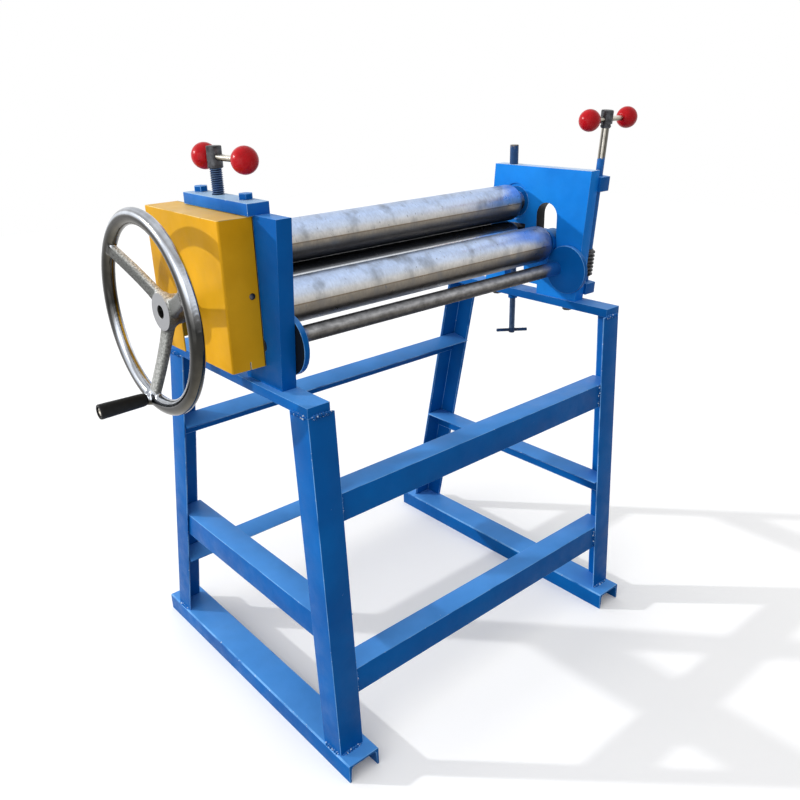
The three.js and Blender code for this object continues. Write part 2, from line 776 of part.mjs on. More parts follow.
function wormWheelGeometry() {
  // A gap of the wheel faces the worm, where a thread crest stands at rest
  const shape = gearShape(wormWheelTeeth, wormModule, {
    startAngle: Math.PI + Math.PI / wormWheelTeeth,
    addendum: wormAddendum,
    dedendum: wormDedendum,
    thickness: 0.44 * wormPitch,
    flankSteps: 1,
  });
  shape.holes.push(circle(0, 0, camJournalRadius + fit, mediumSegments));
  const half = wormWheelWidth / 2;
  const rim = extrudedAlongX(shape, -half, half);
  const position = rim.getAttribute('position');
  for (let i = 0; i < position.count; i += 1) {
    const [x, y, z] = [position.getX(i), position.getY(i), position.getZ(i)];
    const twist = x * wormLeadTangent / wormWheelPitchRadius;
    const cos = Math.cos(twist);
    const sin = Math.sin(twist);
    position.setXYZ(i, x, y * cos - z * sin, y * sin + z * cos);
  }
  const hubStart = plateOuterX - wormAxisX + 2 * fit;
  const hub = sleeve(hubStart, -half + 1, camJournalRadius + fit, camJournalRadius + 7, mediumSegments);
  return join([rim, hub]).translate(0, wormCentreDistance, 0);
}

// One thread wound round a plain core
function wormGeometry() {
  const stepsPerTurn = 10;
  const rootRadius = wormPitchRadius - wormDedendum;
  const core = new THREE.CylinderGeometry(rootRadius, rootRadius, wormLength, stepsPerTurn);
  core.rotateX(Math.PI / 2);
  const flank = Math.tan(THREE.MathUtils.degToRad(20));
  const pitchHalf = 0.42 * wormPitch / 2;
  const crestHalf = pitchHalf - wormAddendum * flank;
  const footRadius = rootRadius - 1;
  const footHalf = pitchHalf + (wormPitchRadius - footRadius) * flank;
  const section = [
    [footRadius, -footHalf], [wormOuterRadius, -crestHalf],
    [wormOuterRadius, crestHalf], [footRadius, footHalf],
  ];
  const span = wormLength - 2 * footHalf - 1;
  const turns = Math.floor(span / wormPitch * 2) / 2;
  const steps = Math.round(turns * stepsPerTurn);
  const corners = [];
  for (let i = 0; i <= steps; i += 1) {
    const winding = (i - steps / 2) / stepsPerTurn;
    const angle = Math.PI / 2 + 2 * Math.PI * (winding + wormRise / wormPitch);
    for (const [radius, offset] of section) {
      corners.push(radius * Math.cos(angle), radius * Math.sin(angle), offset + winding * wormPitch);
    }
  }
  const faces = [];
  const sides = section.length;
  for (let i = 0; i < steps; i += 1) {
    for (let k = 0; k < sides; k += 1) {
      const [a, b] = [i * sides + k, i * sides + (k + 1) % sides];
      const [c, d] = [a + sides, b + sides];
      faces.push(a, b, c, b, d, c);
    }
  }
  const last = steps * sides;
  faces.push(0, 2, 1, 0, 3, 2, last, last + 1, last + 2, last, last + 2, last + 3);
  const thread = new THREE.BufferGeometry();
  thread.setAttribute('position', new THREE.Float32BufferAttribute(corners, 3));
  thread.setIndex(faces);
  const bore = bar('z', wormShaftRadius + fit, -wormLength, wormLength, [0, 0]);
  return cut(join([core, thread]), [bore]).translate(0, 0, wormRise);
}

function wormBlockGeometry(centre, height) {
  const nearX = plateOuterX - wormAxisX;
  const body = block(
    nearX, nearX + wormBlockDepth, -wormBlockHalfWidth, wormBlockHalfWidth,
    centre - height / 2, centre + height / 2);
  const bore = bar(
    'z', wormShaftRadius + fit, centre - height, centre + height, [0, 0]);
  return cut(body, [bore]);
}

const wormLowerBlockOffset = wormRise - wormLength / 2 - wormBlockGap - wormLowerBlockHeight / 2;
const wormShaftBottom = wormLowerBlockOffset - wormLowerBlockHeight / 2 - 3;
const wormHubBottom = wormHandleOffset - handleHubHeight / 2;

function handleHubCore(centreZ, barAxis) {
  const half = handleHubHeight / 2;
  const hub = bar('z', handleHubRadius, centreZ - half, centreZ + half, [0, 0], mediumSegments);
  const hole = bar(
    barAxis, handleBarRadius + fit, -handleHubRadius - 2, handleHubRadius + 2, [0, centreZ]);
  return { hub, hole };
}

function wormShaftGeometry() {
  const { hub, hole } = handleHubCore(wormHandleOffset, 'x');
  const shaft = bar('z', wormShaftRadius, wormShaftBottom, wormHubBottom + 5, [0, 0]);
  return cut(join([shaft, hub]), [hole]);
}

addPart('worm_wheel', wormWheelGeometry(), darkSteel, wormDrive);
addPart('worm', wormGeometry(), darkSteel, wormDrive);
addPart('worm_shaft', wormShaftGeometry(), turnedSteel, wormDrive);
addPart(
  'worm_block_upper', wormBlockGeometry(wormUpperBlockOffset, wormUpperBlockHeight), bluePaint, wormDrive);
addPart(
  'worm_block_lower', wormBlockGeometry(wormLowerBlockOffset, wormLowerBlockHeight), bluePaint, wormDrive);

// Ball knob about the X axis, its blind bore opening towards -X at the origin
function knobGeometry() {
  const steps = 7;
  const mouth = handleBarRadius + 3;
  const startAngle = Math.asin(mouth / knobRadius);
  const centre = knobRadius * Math.cos(startAngle);
  const bore = handleBarRadius + fit;
  const profile = [[knobBoreDepth, 0], [knobBoreDepth, bore], [0, bore]];
  for (let i = 0; i <= steps; i += 1) {
    const angle = Math.PI - startAngle - (Math.PI - startAngle) * i / steps;
    profile.push([centre + knobRadius * Math.cos(angle), i === steps ? 0 : knobRadius * Math.sin(angle)]);
  }
  return turned(profile, smallSegments);
}

// Sliding bar with two ball knobs, along the local X axis and centred on the hub when slide is 0
function addSlidingBar(prefix, names, parent, slide) {
  const mouth = handleBarHalfSpan - knobRadius;
  const barEnd = mouth + knobBoreDepth - fit;
  const rod = bar('x', handleBarRadius, slide - barEnd, slide + barEnd, [0, 0]);
  addPart(`${prefix}_bar`, rod, turnedSteel, parent);
  const plus = addPart(`${prefix}_knob_${names[1]}`, knobGeometry(), redPlastic, parent);
  plus.position.x = slide + mouth;
  const minus = addPart(`${prefix}_knob_${names[0]}`, knobGeometry(), redPlastic, parent);
  minus.position.x = slide - mouth;
  minus.rotation.z = Math.PI;
}

const wormHandle = new THREE.Group();
wormHandle.position.z = wormHandleOffset;
wormDrive.add(wormHandle);
addSlidingBar('worm_handle', ['left', 'right'], wormHandle, wormBarSlide);

// Pressure screw through the cap plate, its swivel pad on the upper bearing block

const blockTopZ = upperRollZ + blockHalfHeight;
const padTopZ = blockTopZ + fit + padThickness;
const pressureHubZ = capTopZ + pressureScrewRise - handleHubHeight / 2 + 10;
const pressureAxis = [-plateMiddleX, pressureScrewY];
const pressurePad = bar('z', padRadius, blockTopZ + fit, padTopZ, pressureAxis);
addPart('pressure_pad', pressurePad, darkSteel);

const pressureGroup = new THREE.Group();
pressureGroup.position.set(pressureAxis[0], pressureAxis[1], pressureHubZ);
machine.add(pressureGroup);
const pressureHub = handleHubCore(0, 'y');
const screwTop = -handleHubHeight / 2 + 6;
const screwSocket = bar('z', pressureScrewRadius + fit, -handleHubHeight, screwTop + fit, [0, 0]);
const pressureHubSolid = cut(pressureHub.hub, [pressureHub.hole, screwSocket]);
addPart('pressure_screw_hub', pressureHubSolid, darkSteel, pressureGroup);
const pressureScrew = bar(
  'z', pressureScrewRadius, padTopZ + fit - pressureHubZ, screwTop, [0, 0]);
addPart('pressure_screw', pressureScrew, darkSteel, pressureGroup);
const pressureBar = new THREE.Group();
pressureBar.rotation.z = Math.PI / 2;
pressureGroup.add(pressureBar);
addSlidingBar('pressure_handle', ['front', 'rear'], pressureBar, pressureBarSlide);

// Lower screw: raises the right bearing of the lower roll from below

const lowerBlockBottomZ = lowerRollZ - blockHalfHeight;
const lowerPadBottomZ = lowerBlockBottomZ - fit - padThickness;
const lowerScrewAxis = [plateMiddleX, lowerScrewY];
const lowerPad = bar('z', padRadius, lowerPadBottomZ, lowerBlockBottomZ - fit, lowerScrewAxis);
addPart('lower_screw_pad', lowerPad, darkSteel);

function lowerScrewGeometry() {
  const bottom = legTopHeight - lowerScrewDrop;
  const screw = bar('z', lowerScrewRadius, bottom, lowerPadBottomZ - fit, [0, 0]);
  const half = lowerBarLength / 2;
  const tBar = bar('x', lowerBarRadius, -half, half, [0, bottom + lowerBarRadius * 1.6], 16);
  tBar.rotateZ(THREE.MathUtils.degToRad(lowerBarTurn));
  return join([screw, tBar]).translate(lowerScrewAxis[0], lowerScrewAxis[1], 0);
}

addPart('lower_screw', lowerScrewGeometry(), bluePaint);

// Gear cover: folded sheet open at the bottom and towards the plate, slotted over the shafts

function coverOutline(inset) {
  const near = -plateOuterX - (inset ? -1 : fit);
  const far = coverFarX + inset;
  const front = coverFrontY + inset;
  const rear = coverRearY - inset;
  const r = coverBendRadius - inset;
  return polygon([
    [near, front], [near, rear],
    ...arc(far + r, rear - r, r, 90, 180, 3), ...arc(far + r, front + r, r, 180, 270, 3),
  ]);
}

function coverGeometry() {
  const outside = extruded(coverOutline(0), coverTopZ - coverBottomZ).translate(0, 0, coverBottomZ);
  const insideHeight = coverTopZ - coverWall - coverBottomZ + 1;
  const inside = extruded(coverOutline(coverWall), insideHeight).translate(0, 0, coverBottomZ - 1);
  const slot = polygon([
    [pinchY - coverSlotHalfWidth, coverBottomZ - 1], [pinchY + coverSlotHalfWidth, coverBottomZ - 1],
    ...arc(pinchY, coverSlotTopZ - coverSlotHalfWidth, coverSlotHalfWidth, 0, 180, 16),
  ]);
  const slotTool = extrudedAlongX(slot, coverFarX - 1, coverFarX + coverWall + 1);
  const slitX = coverFarX + coverSlitInset;
  const slit = block(
    slitX - coverSlitWidth / 2, slitX + coverSlitWidth / 2,
    coverFrontY - 1, coverFrontY + coverWall + 1, coverBottomZ - 1, coverBottomZ + coverSlitHeight);
  return cut(outside, [inside, slotTool, slit, coverScrewHole]);
}

addPart('gear_cover', coverGeometry(), yellowPaint);

// Cover screw: domed head outside the front wall, shank in the lug
const coverScrewProfile = [
  [-3.4, 0], [-2.6, 4.2], [-fit, 6.4], [-fit, coverScrewRadius],
  [lugSize - 4, coverScrewRadius], [lugSize - 4, 0],
];
const coverScrew = turned(coverScrewProfile, smallSegments).rotateZ(Math.PI / 2);
const coverScrewPart = addPart('cover_screw', coverScrew, darkSteel);
coverScrewPart.position.set(coverScrewX, coverFrontY, coverScrewZ);

// Handwheel: oval rim, dished spokes and a bored hub in one casting, with the grip's boss

function rimGeometry() {
  const meanRadius = wheelRadius - rimRadialHalf;
  const profile = [];
  const steps = 9;
  for (let i = 0; i <= steps; i += 1) {
    const angle = 2 * Math.PI * i / steps;
    profile.push([wheelRimX + rimAxialHalf * Math.cos(angle), meanRadius + rimRadialHalf * Math.sin(angle)]);
  }
  return turned(profile, 32);
}

function hubGeometry() {
  return turned([
    [hubFaceX, 0], [hubFaceX, hubRadius - 3], [hubFaceX + 3, hubRadius], [hubFaceX + 16, hubRadius],
    [hubFaceX + 26, hubNeckRadius], [hubBackX - 2, hubNeckRadius - 2], [hubBackX, hubNeckRadius - 4],
    [hubBackX, 0],
  ], mediumSegments);
}

// Section of a spoke: a bar with rounded edges, across the curve that it is swept along
function spokeSection() {
  const r = spokeEdgeRadius;
  const a = spokeHalfDepth - r;
  const b = spokeHalfWidth - r;
  return polygon([
    ...arc(a, b, r, 0, 90, 2), ...arc(-a, b, r, 90, 180, 2),
    ...arc(-a, -b, r, 180, 270, 2), ...arc(a, -b, r, 270, 360, 2),
  ]);
}

// Spoke from inside the hub out to the rim's middle
function spokeGeometry(degrees) {
  const path = new THREE.CatmullRomCurve3([
    new THREE.Vector3(hubFaceX + 15, hubNeckRadius - 12, 0),
    new THREE.Vector3(hubFaceX + 8, hubRadius + 28, 0),
    new THREE.Vector3(wheelRimX + 1, wheelRadius - 2 * rimRadialHalf + 4, 0),
  ]);
  const spoke = new THREE.ExtrudeGeometry(spokeSection(), { steps: 5, extrudePath: path });
  return closedShell(spoke).rotateX(THREE.MathUtils.degToRad(degrees));
}

const gripReach = wheelRadius - rimRadialHalf;
const gripRadians = THREE.MathUtils.degToRad(gripAngle);
const gripOffset = [gripReach * Math.cos(gripRadians), gripReach * Math.sin(gripRadians)];
const bossFaceX = wheelRimX - gripBossRise;

function handwheelGeometry() {
  const pieces = [rimGeometry(), hubGeometry()];
  for (let i = 0; i < spokeCount; i += 1) {
    pieces.push(spokeGeometry(gripAngle + 360 * i / spokeCount));
  }
  pieces.push(bar('x', gripBossRadius, bossFaceX, wheelRimX + rimAxialHalf / 2, gripOffset));
  const spindleHole = bar(
    'x', gripSpindleRadius + fit, bossFaceX - 1, wheelRimX + rimAxialHalf - 6, gripOffset);
  const hubBore = bar('x', hubBoreRadius, hubFaceX - 1, hubBackX + 1, [0, 0], mediumSegments);
  return cut(join(pieces), [hubBore, spindleHole]);
}

const wheelPart = addPart('handwheel', handwheelGeometry(), platedCasting);
wheelPart.position.set(0, pinchY, lowerRollZ);

const gripNearX = bossFaceX - 2 * fit;
const gripFarX = gripNearX - gripLength;
const spindleHeadX = gripFarX + gripRecessDepth - 1;
const gripSpindle = turned([
  [spindleHeadX - 4, 0], [spindleHeadX - 4, gripHeadRadius - 1], [spindleHeadX - 3, gripHeadRadius],
  [spindleHeadX + 1 - fit, gripHeadRadius], [spindleHeadX + 1 - fit, gripSpindleRadius],
  [wheelRimX + rimAxialHalf - 7, gripSpindleRadius], [wheelRimX + rimAxialHalf - 7, 0],
], smallSegments);
const gripAxis = [pinchY + gripOffset[0], lowerRollZ + gripOffset[1]];
addPart('grip_spindle', gripSpindle.translate(0, ...gripAxis), turnedSteel);

const gripBore = gripSpindleRadius + fit;
const grip = turned([
  [gripNearX, gripBore], [gripNearX, gripRadius - 2.5], [gripNearX - 3, gripRadius - 1],
  [gripNearX - gripLength * 0.55, gripRadius - 0.6], [gripFarX + 2, gripRadius], [gripFarX, gripRadius - 2],
  [gripFarX, gripRecessRadius], [gripFarX + gripRecessDepth, gripRecessRadius],
  [gripFarX + gripRecessDepth, gripBore], [gripNearX, gripBore],
], mediumSegments);
addPart('grip', grip.translate(0, ...gripAxis), blackPlastic);

// The product's origin is the middle of its floor plan, on the floor
const extent = new THREE.Box3().setFromObject(machine);
machine.position.set(
  -(extent.min.x + extent.max.x) / 2, -(extent.min.y + extent.max.y) / 2, -extent.min.z);

const product = new THREE.Group();
product.add(machine);

export default product;
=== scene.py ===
# %% [markdown]
# A slip roll machine bends sheet metal between three long steel rolls. This lesson dresses its
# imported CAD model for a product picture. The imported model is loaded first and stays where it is,
# so every finished piece can take its place from it.

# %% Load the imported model
import json
import math

import bmesh
import bpy
from mathutils import Matrix, Vector

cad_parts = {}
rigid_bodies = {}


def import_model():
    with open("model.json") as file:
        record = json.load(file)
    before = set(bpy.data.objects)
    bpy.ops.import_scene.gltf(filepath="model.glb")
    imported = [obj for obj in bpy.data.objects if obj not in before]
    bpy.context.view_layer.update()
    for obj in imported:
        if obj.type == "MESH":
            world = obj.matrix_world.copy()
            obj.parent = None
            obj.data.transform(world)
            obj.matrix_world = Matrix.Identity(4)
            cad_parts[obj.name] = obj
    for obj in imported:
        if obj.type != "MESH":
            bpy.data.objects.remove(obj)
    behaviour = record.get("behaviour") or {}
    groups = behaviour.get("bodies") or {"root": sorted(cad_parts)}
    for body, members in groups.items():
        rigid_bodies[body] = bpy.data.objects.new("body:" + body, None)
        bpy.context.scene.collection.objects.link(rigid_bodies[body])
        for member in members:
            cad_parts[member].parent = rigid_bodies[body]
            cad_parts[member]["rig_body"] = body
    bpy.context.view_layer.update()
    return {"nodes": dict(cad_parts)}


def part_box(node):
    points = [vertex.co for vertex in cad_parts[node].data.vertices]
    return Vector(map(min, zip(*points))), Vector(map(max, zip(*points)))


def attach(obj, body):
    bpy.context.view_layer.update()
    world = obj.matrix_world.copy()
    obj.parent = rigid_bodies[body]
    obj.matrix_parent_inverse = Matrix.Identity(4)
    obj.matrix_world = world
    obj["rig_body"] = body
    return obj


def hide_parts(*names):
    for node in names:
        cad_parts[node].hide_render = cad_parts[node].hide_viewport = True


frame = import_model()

MM = 0.001
nodes = frame["nodes"]
body_of = {name: node["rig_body"] for name, node in nodes.items()}
scene = bpy.context.scene

# %% [markdown]
# The stand is symmetric, but the machine is not, because the handwheel reaches further out than
# the worm drive. The middle of the stand is therefore read from the feet. The roll axes come from
# the boxes of the rolls.

# %% Places that the rest is measured from


def centre_of(node_name):
    low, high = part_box(node_name)
    return (low + high) / 2


MIDDLE_X = (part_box("foot_left")[0].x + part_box("foot_right")[1].x) / 2
LOWER_AXIS = centre_of("lower_roll")
UPPER_AXIS = centre_of("upper_roll")
BENDING_AXIS = centre_of("bending_roll")
HUB_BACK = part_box("handwheel")[1].x
right_plate_low, right_plate_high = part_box("end_plate_right")
tube_low, tube_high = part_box("cross_tube")
print("middle of the stand at x =", round(MIDDLE_X, 4))

# %% [markdown]
# The camera copies the photograph: it stands in front of the left end, a little above the rolls
# and looks down. Its place was found by fitting the corners of the stand. Blender's camera looks
# along its own -Z axis, so it starts by looking straight down. It is rolled about that axis,
# raised to its pitch, turned to its heading and moved, in that order, which reads from right to
# left below.

# %% Camera
CAMERA_PLACE = Vector((-1.1916 + MIDDLE_X, -1.4446, 1.3851))
CAMERA_HEADING = math.radians(40.466)
CAMERA_PITCH = math.radians(-22.29)
CAMERA_ROLL = math.radians(-1.5075)
SENSOR_WIDTH = 36.0
FOCAL_LENGTH = 35.9

camera_data = bpy.data.cameras.new("camera")
camera_data.sensor_width = SENSOR_WIDTH
camera_data.lens = FOCAL_LENGTH
camera = bpy.data.objects.new("camera", camera_data)
scene.collection.objects.link(camera)
camera.matrix_world = (
    Matrix.Translation(CAMERA_PLACE) @ Matrix.Rotation(-CAMERA_HEADING, 4, "Z")
    @ Matrix.Rotation(math.pi / 2 + CAMERA_PITCH, 4, "X") @ Matrix.Rotation(CAMERA_ROLL, 4, "Z"))
scene.camera = camera
print("camera at", [round(value, 3) for value in CAMERA_PLACE])

# %% [markdown]
# Paint, steel and plastic are all described by small node trees. One helper turns a colour given
# for a screen into the linear value that a renderer works in, and one adds a node together with
# its settings and links. Two more start a material and link what was built to its shader.

# %% Colour, node and material helpers
COLOUR_MIX = {"output": 2, "data_type": "RGBA"}


def linear(hex_colour):
    """Linear RGBA from an sRGB hex colour such as 1F6FC0."""
    channels = [int(hex_colour[i:i + 2], 16) / 255 for i in (0, 2, 4)]
    return [c / 12.92 if c <= 0.04045 else ((c + 0.055) / 1.055) ** 2.4 for c in channels] + [1.0]


def add_node(tree, kind, inputs=None, output=0, **settings):
    """Adds a node and returns an output. An input is a value, a hex colour or another output."""
    node = tree.nodes.new("ShaderNode" + kind)
    for name, value in settings.items():
        setattr(node, name, value)
    for socket, value in (inputs or {}).items():
        if isinstance(value, bpy.types.NodeSocket):
            tree.links.new(value, node.inputs[socket])
        else:
            node.inputs[socket].default_value = linear(value) if isinstance(value, str) else value
    return node.outputs[output]


def new_material(name, **uniform_values):
    """A material with a Principled shader, whose uniform values are set on its own sockets."""
    material = bpy.data.materials.new(name)
    material.use_nodes = True
    tree = material.node_tree
    for socket, value in uniform_values.items():
        tree.nodes["Principled BSDF"].inputs[socket.replace("_", " ")].default_value = value
    return material, tree


def finished(material, **sources):
    """Links what was built to the sockets of the material's shader."""
    tree = material.node_tree
    for socket, source in sources.items():
        tree.links.new(source, tree.nodes["Principled BSDF"].inputs[socket.replace("_", " ")])
    return material


print("test colour:", [round(value, 3) for value in linear("1F6FC0")])

# %% [markdown]
# Nothing on a used machine has one even colour. Cloudy patches of a given size vary it. Bands
# of colour follow the way the surface faces and paint reflection, highlight and shade on the
# metal parts, so they stay where they are when a piece turns.

# %% Pattern helpers


def position(tree, axis):
    """Place along an axis of the object."""
    return add_node(
        tree, "SeparateXYZ", {0: add_node(tree, "TexCoord", output="Object")}, axis)


def facing(tree, axis):
    """How far the surface faces along an axis, such as from -1 for down to 1 for up."""
    return add_node(
        tree, "SeparateXYZ", {0: add_node(tree, "NewGeometry", output="Normal")}, axis)


def patches(tree, width, to=(0.0, 1.0), span=(0.3, 0.7), stretch=(1, 1, 1), detail=3.0):
    """Cloudy patches of a width in metres. What lies in the span is stretched to a new one."""
    place = add_node(tree, "TexCoord", output="Object")
    mapped = add_node(tree, "Mapping", {"Vector": place, "Scale": stretch})
    cloud = add_node(tree, "TexNoise", {"Vector": mapped, "Scale": 1 / width, "Detail": detail})
    return add_node(tree, "MapRange", {
        "Value": cloud, "From Min": span[0], "From Max": span[1],
        "To Min": to[0], "To Max": to[1]})


def mottled(tree, colour, *cloud, **pattern):
    """Makes a colour darker and lighter in cloudy patches."""
    return add_node(tree, "VectorMath", {
        0: colour, "Scale": patches(tree, *cloud, **pattern)}, operation="SCALE")


# Painted light: bands of colour by the way the surface faces.
def banded_colour(tree, bands, axis="Z"):
    """Blends from band to band of (how far the surface faces along an axis, colour)."""
    slope = facing(tree, axis)
    colour = bands[0][1]
    for (start, _), (end, shade) in zip(bands, bands[1:]):
        share = add_node(tree, "MapRange", {"Value": slope, "From Min": start, "From Max": end})
        colour = add_node(tree, "Mix", {0: share, 6: colour, 7: shade}, **COLOUR_MIX)
    return colour


def sprayed_end(tree, colour, start, full, coat):
    """Lets the soft edge of paint or grease run over a colour between two places along X."""
    ragged = add_node(tree, "Math", {
        0: position(tree, "X"), 1: patches(tree, 14 * MM, (-9 * MM, 9 * MM))}, operation="ADD")
    cover = add_node(tree, "MapRange", {"Value": ragged, "From Min": start, "From Max": full})
    return add_node(tree, "Mix", {0: cover, 6: colour, 7: coat}, **COLOUR_MIX), cover


print("pattern helpers ready")

# %% [markdown]
# Workshop enamel is an alkyd paint sprayed or brushed over raw steel. It has an orange-peel skin
# about 1 mm wide and soft runs. It fades and turns lighter on surfaces that face up, partly with
# dust and partly as a painted sheen. It is rubbed thin along edges and painted lighter there as a
# highlight, and it chips to pale primer there. Spatter from welding leaves pale specks. The pieces
# carry a value that is 1 on their rounded edges and one that is 1 where the paint is painted near
# black as shade. The peel is drawn coarser than it is so that it shows. The right end plate gets a
# lighter copy of the blue as painted sunlight, and the cap plate has gone dull.

# %% Enamel
PAINT_PEEL = 1.6 * MM
PAINT_CLOUDS = 160 * MM
PAINT_RUNS = 22 * MM
DUST_AND_SHEEN_WIDTH = 240 * MM
GRIME_WIDTH = 70 * MM
RUBBED_AND_HIGHLIT_LENGTH = 70 * MM
CHIP_WIDTH = 7 * MM
SPECK_WIDTH = 5 * MM
PAINTED_SHADE_COLOUR = "14181E"


def enamel_colour(tree, deep, light, dust_and_sheen, dust_and_sheen_amount):
    """Paint in two close shades, with dust and a painted sheen on whatever faces up, and grime all
    over.
    """
    shade = add_node(
        tree, "Mix", {0: patches(tree, PAINT_CLOUDS, detail=4), 6: deep, 7: light}, **COLOUR_MIX)
    # Dust and painted sheen on faces that look up.
    up = add_node(tree, "MapRange", {
        "Value": facing(tree, "Z"), "From Min": 0.5, "From Max": 1.0, "To Max": dust_and_sheen_amount})
    film = add_node(tree, "Math", {
        0: up, 1: patches(tree, DUST_AND_SHEEN_WIDTH, (0.6, 1.0), detail=6)}, operation="MULTIPLY")
    dusted_and_sheened = add_node(tree, "Mix", {0: film, 6: shade, 7: dust_and_sheen}, **COLOUR_MIX)
    return mottled(tree, dusted_and_sheened, GRIME_WIDTH, (0.92, 1.04), detail=9)


def enamel(name, paints, worn_and_highlit, dust_and_sheen_amount=0.75, speck_level=0.81):
    """Enamel in two shades and one of dust and painted sheen. The pair after them holds the colours
    of rubbed edges with a painted highlight, and of chips.
    """
    material, tree = new_material(name, Specular_IOR_Level=0.08)
    painted_shade = add_node(tree, "Attribute", output="Fac", attribute_name="painted_shade")
    # Painted shade: where the value is 1, the colour turns near black.
    colour = add_node(tree, "Mix", {
        0: painted_shade, 6: enamel_colour(tree, *paints, dust_and_sheen_amount), 7: PAINTED_SHADE_COLOUR}, **COLOUR_MIX)
    edge = add_node(tree, "Attribute", output="Fac", attribute_name="edge_and_crest")
    # Painted highlight: stretches of rounded edge are rubbed and painted lighter.
    rubbed_and_highlit = add_node(tree, "Math", {
        0: edge, 1: patches(tree, RUBBED_AND_HIGHLIT_LENGTH, (0.05, 0.8), (0.34, 0.56))}, operation="MULTIPLY")
    colour = add_node(tree, "Mix", {0: rubbed_and_highlit, 6: colour, 7: worn_and_highlit[0]}, **COLOUR_MIX)
    chips = add_node(tree, "Math", {
        0: edge, 1: patches(tree, CHIP_WIDTH, span=(0.64, 0.69), detail=4)}, operation="MULTIPLY")
    specks = patches(tree, SPECK_WIDTH, span=(speck_level - 0.01, speck_level + 0.02), detail=2)
    bare = add_node(tree, "Math", {0: chips, 1: specks}, operation="MAXIMUM")
    peel = add_node(tree, "Bump", {
        "Height": patches(tree, PAINT_PEEL, detail=1), "Distance": 0.05 * MM})
    return finished(
        material, Base_Color=add_node(tree, "Mix", {0: bare, 6: colour, 7: worn_and_highlit[1]}, **COLOUR_MIX),
        Roughness=patches(tree, 30 * MM, (0.34, 0.52)), Normal=add_node(tree, "Bump", {
            "Height": patches(tree, PAINT_RUNS, detail=2), "Distance": 0.22 * MM, "Normal": peel}))


BLUE_DEEP, BLUE_LIGHT = "03549E", "0463B0"
BLUE_ENAMEL = enamel(
    "blue_enamel", (BLUE_DEEP, BLUE_LIGHT, "60AAF8"), ("7CB8F0", "B8CCE2"), dust_and_sheen_amount=0.8)
DUST_AND_SHEEN_ENAMEL = enamel(
    "dust_and_sheen_blue_enamel", ("0E5CAE", "2272C6", "C0E0F6"), ("88B8E4", "D5E2F0"), dust_and_sheen_amount=0.9)
# Painted light: a lighter copy of the blue that stands in for stronger sunlight on the right end
# plate.
SUNLIT_PLATE_ENAMEL = enamel(
    "sunlit_plate_blue_enamel", ("0C74D0", "1E8EEC", "D4E6F6"), ("B4D2EE", "E8F0F8"), dust_and_sheen_amount=0.95)
BEAD_ENAMEL = enamel(
    "enamel_on_weld", ("02305E", "0A6AC4", "66AEF8"), ("7CB8F0", "CFE0F0"),
    dust_and_sheen_amount=0.5, speck_level=0.62)
YELLOW_ENAMEL = enamel(
    "yellow_enamel", ("DA9E10", "E8AE22", "E8C67E"), ("FFECA8", "7E5E22"), speck_level=0.84)
print("enamels:", BLUE_ENAMEL.name, SUNLIT_PLATE_ENAMEL.name, YELLOW_ENAMEL.name)

# %% [markdown]
# The rolls are turned from thick steel tube and left bare. The tool leaves rings round them,
# sheets leave scratches, and handling leaves grey smears across. Their colour is a painted
# reflection set by the way the surface faces: bluish where it faces the sky, pale at the side,
# and warm grey below, where it faces the ground, with a painted dark brown line between the two.
# The lower roll gets darker bands of painted shade, for the shadow of the other two, with a thin
# painted bright line low on it. Oil blackens the shaft ends behind the handwheel, and the paint of
# the right end plate reached the end of the bending roll. A metal keeps the default IOR.

# %% Bare roll steel
ROLL_METALLIC = 0.8
# Painted reflection: colours by how far the surface faces up.
REFLECTION_BANDS = [
    (-1.0, "2C3442"), (-0.75, "3A3E46"), (-0.35, "6A645C"), (0.0, "8A8276"), (0.05, "6E5F4C"),
    (0.09, "B8B2A9"), (0.3, "CDCDCD"), (0.5, "CCD8EC"), (0.8, "C6DAFC"), (1.0, "B8CAE8")]
# Painted shade of the lower roll, with a thin painted bright line.
PAINTED_SHADE_BANDS = [
    (-1.0, "26282C"), (0.1, "8E9298"), (0.5, "EEF2F8"), (0.61, "F0F4FA"), (0.66, "66696E"),
    (0.85, "4A4C50"), (1.0, "2A2B2E")]
OILED_END = (HUB_BACK + 12 * MM, HUB_BACK, "2A2826")
OVERSPRAY = (right_plate_low.x - 70 * MM, right_plate_low.x - 26 * MM, BLUE_DEEP)


def roll_steel(name, bands, smear_amount, smooth, spray):
    """Turned steel. Spray says where a coat over it starts and is full, and its colour."""
    material, tree = new_material(name)
    colour = mottled(
        tree, banded_colour(tree, bands), 22 * MM, (0.88, 1.06), stretch=(0.4, 1, 1), detail=10)
    colour = mottled(tree, colour, 4.5 * MM, (0.88, 1.07), stretch=(1, 0.5, 0.5), detail=6)
    smears = patches(
        tree, 46 * MM, (0, smear_amount), (0.54, 0.76), stretch=(1, 0.7, 0.7), detail=14)
    drips = patches(
        tree, 7 * MM, (0, smear_amount), (0.65, 0.73), stretch=(1, 0.5, 0.5), detail=9)
    dirt = add_node(tree, "Math", {0: smears, 1: drips}, operation="MAXIMUM")
    colour = add_node(tree, "Mix", {0: dirt, 6: colour, 7: "5F6266"}, **COLOUR_MIX)
    colour, cover = sprayed_end(tree, colour, *spray)
    rings = add_node(tree, "Bump", {
        "Height": patches(tree, 1.5 * MM, stretch=(1, 0.02, 0.02), detail=2),
        "Distance": 0.03 * MM})
    return finished(
        material, Base_Color=colour,
        Metallic=add_node(tree, "MapRange", {
            "Value": cover, "To Min": ROLL_METALLIC, "To Max": 0.0}),
        Roughness=patches(tree, 18 * MM, (smooth, smooth + 0.14), detail=6),
        Normal=add_node(tree, "Bump", {
            "Height": patches(tree, 30 * MM), "Distance": 0.2 * MM, "Normal": rings}))


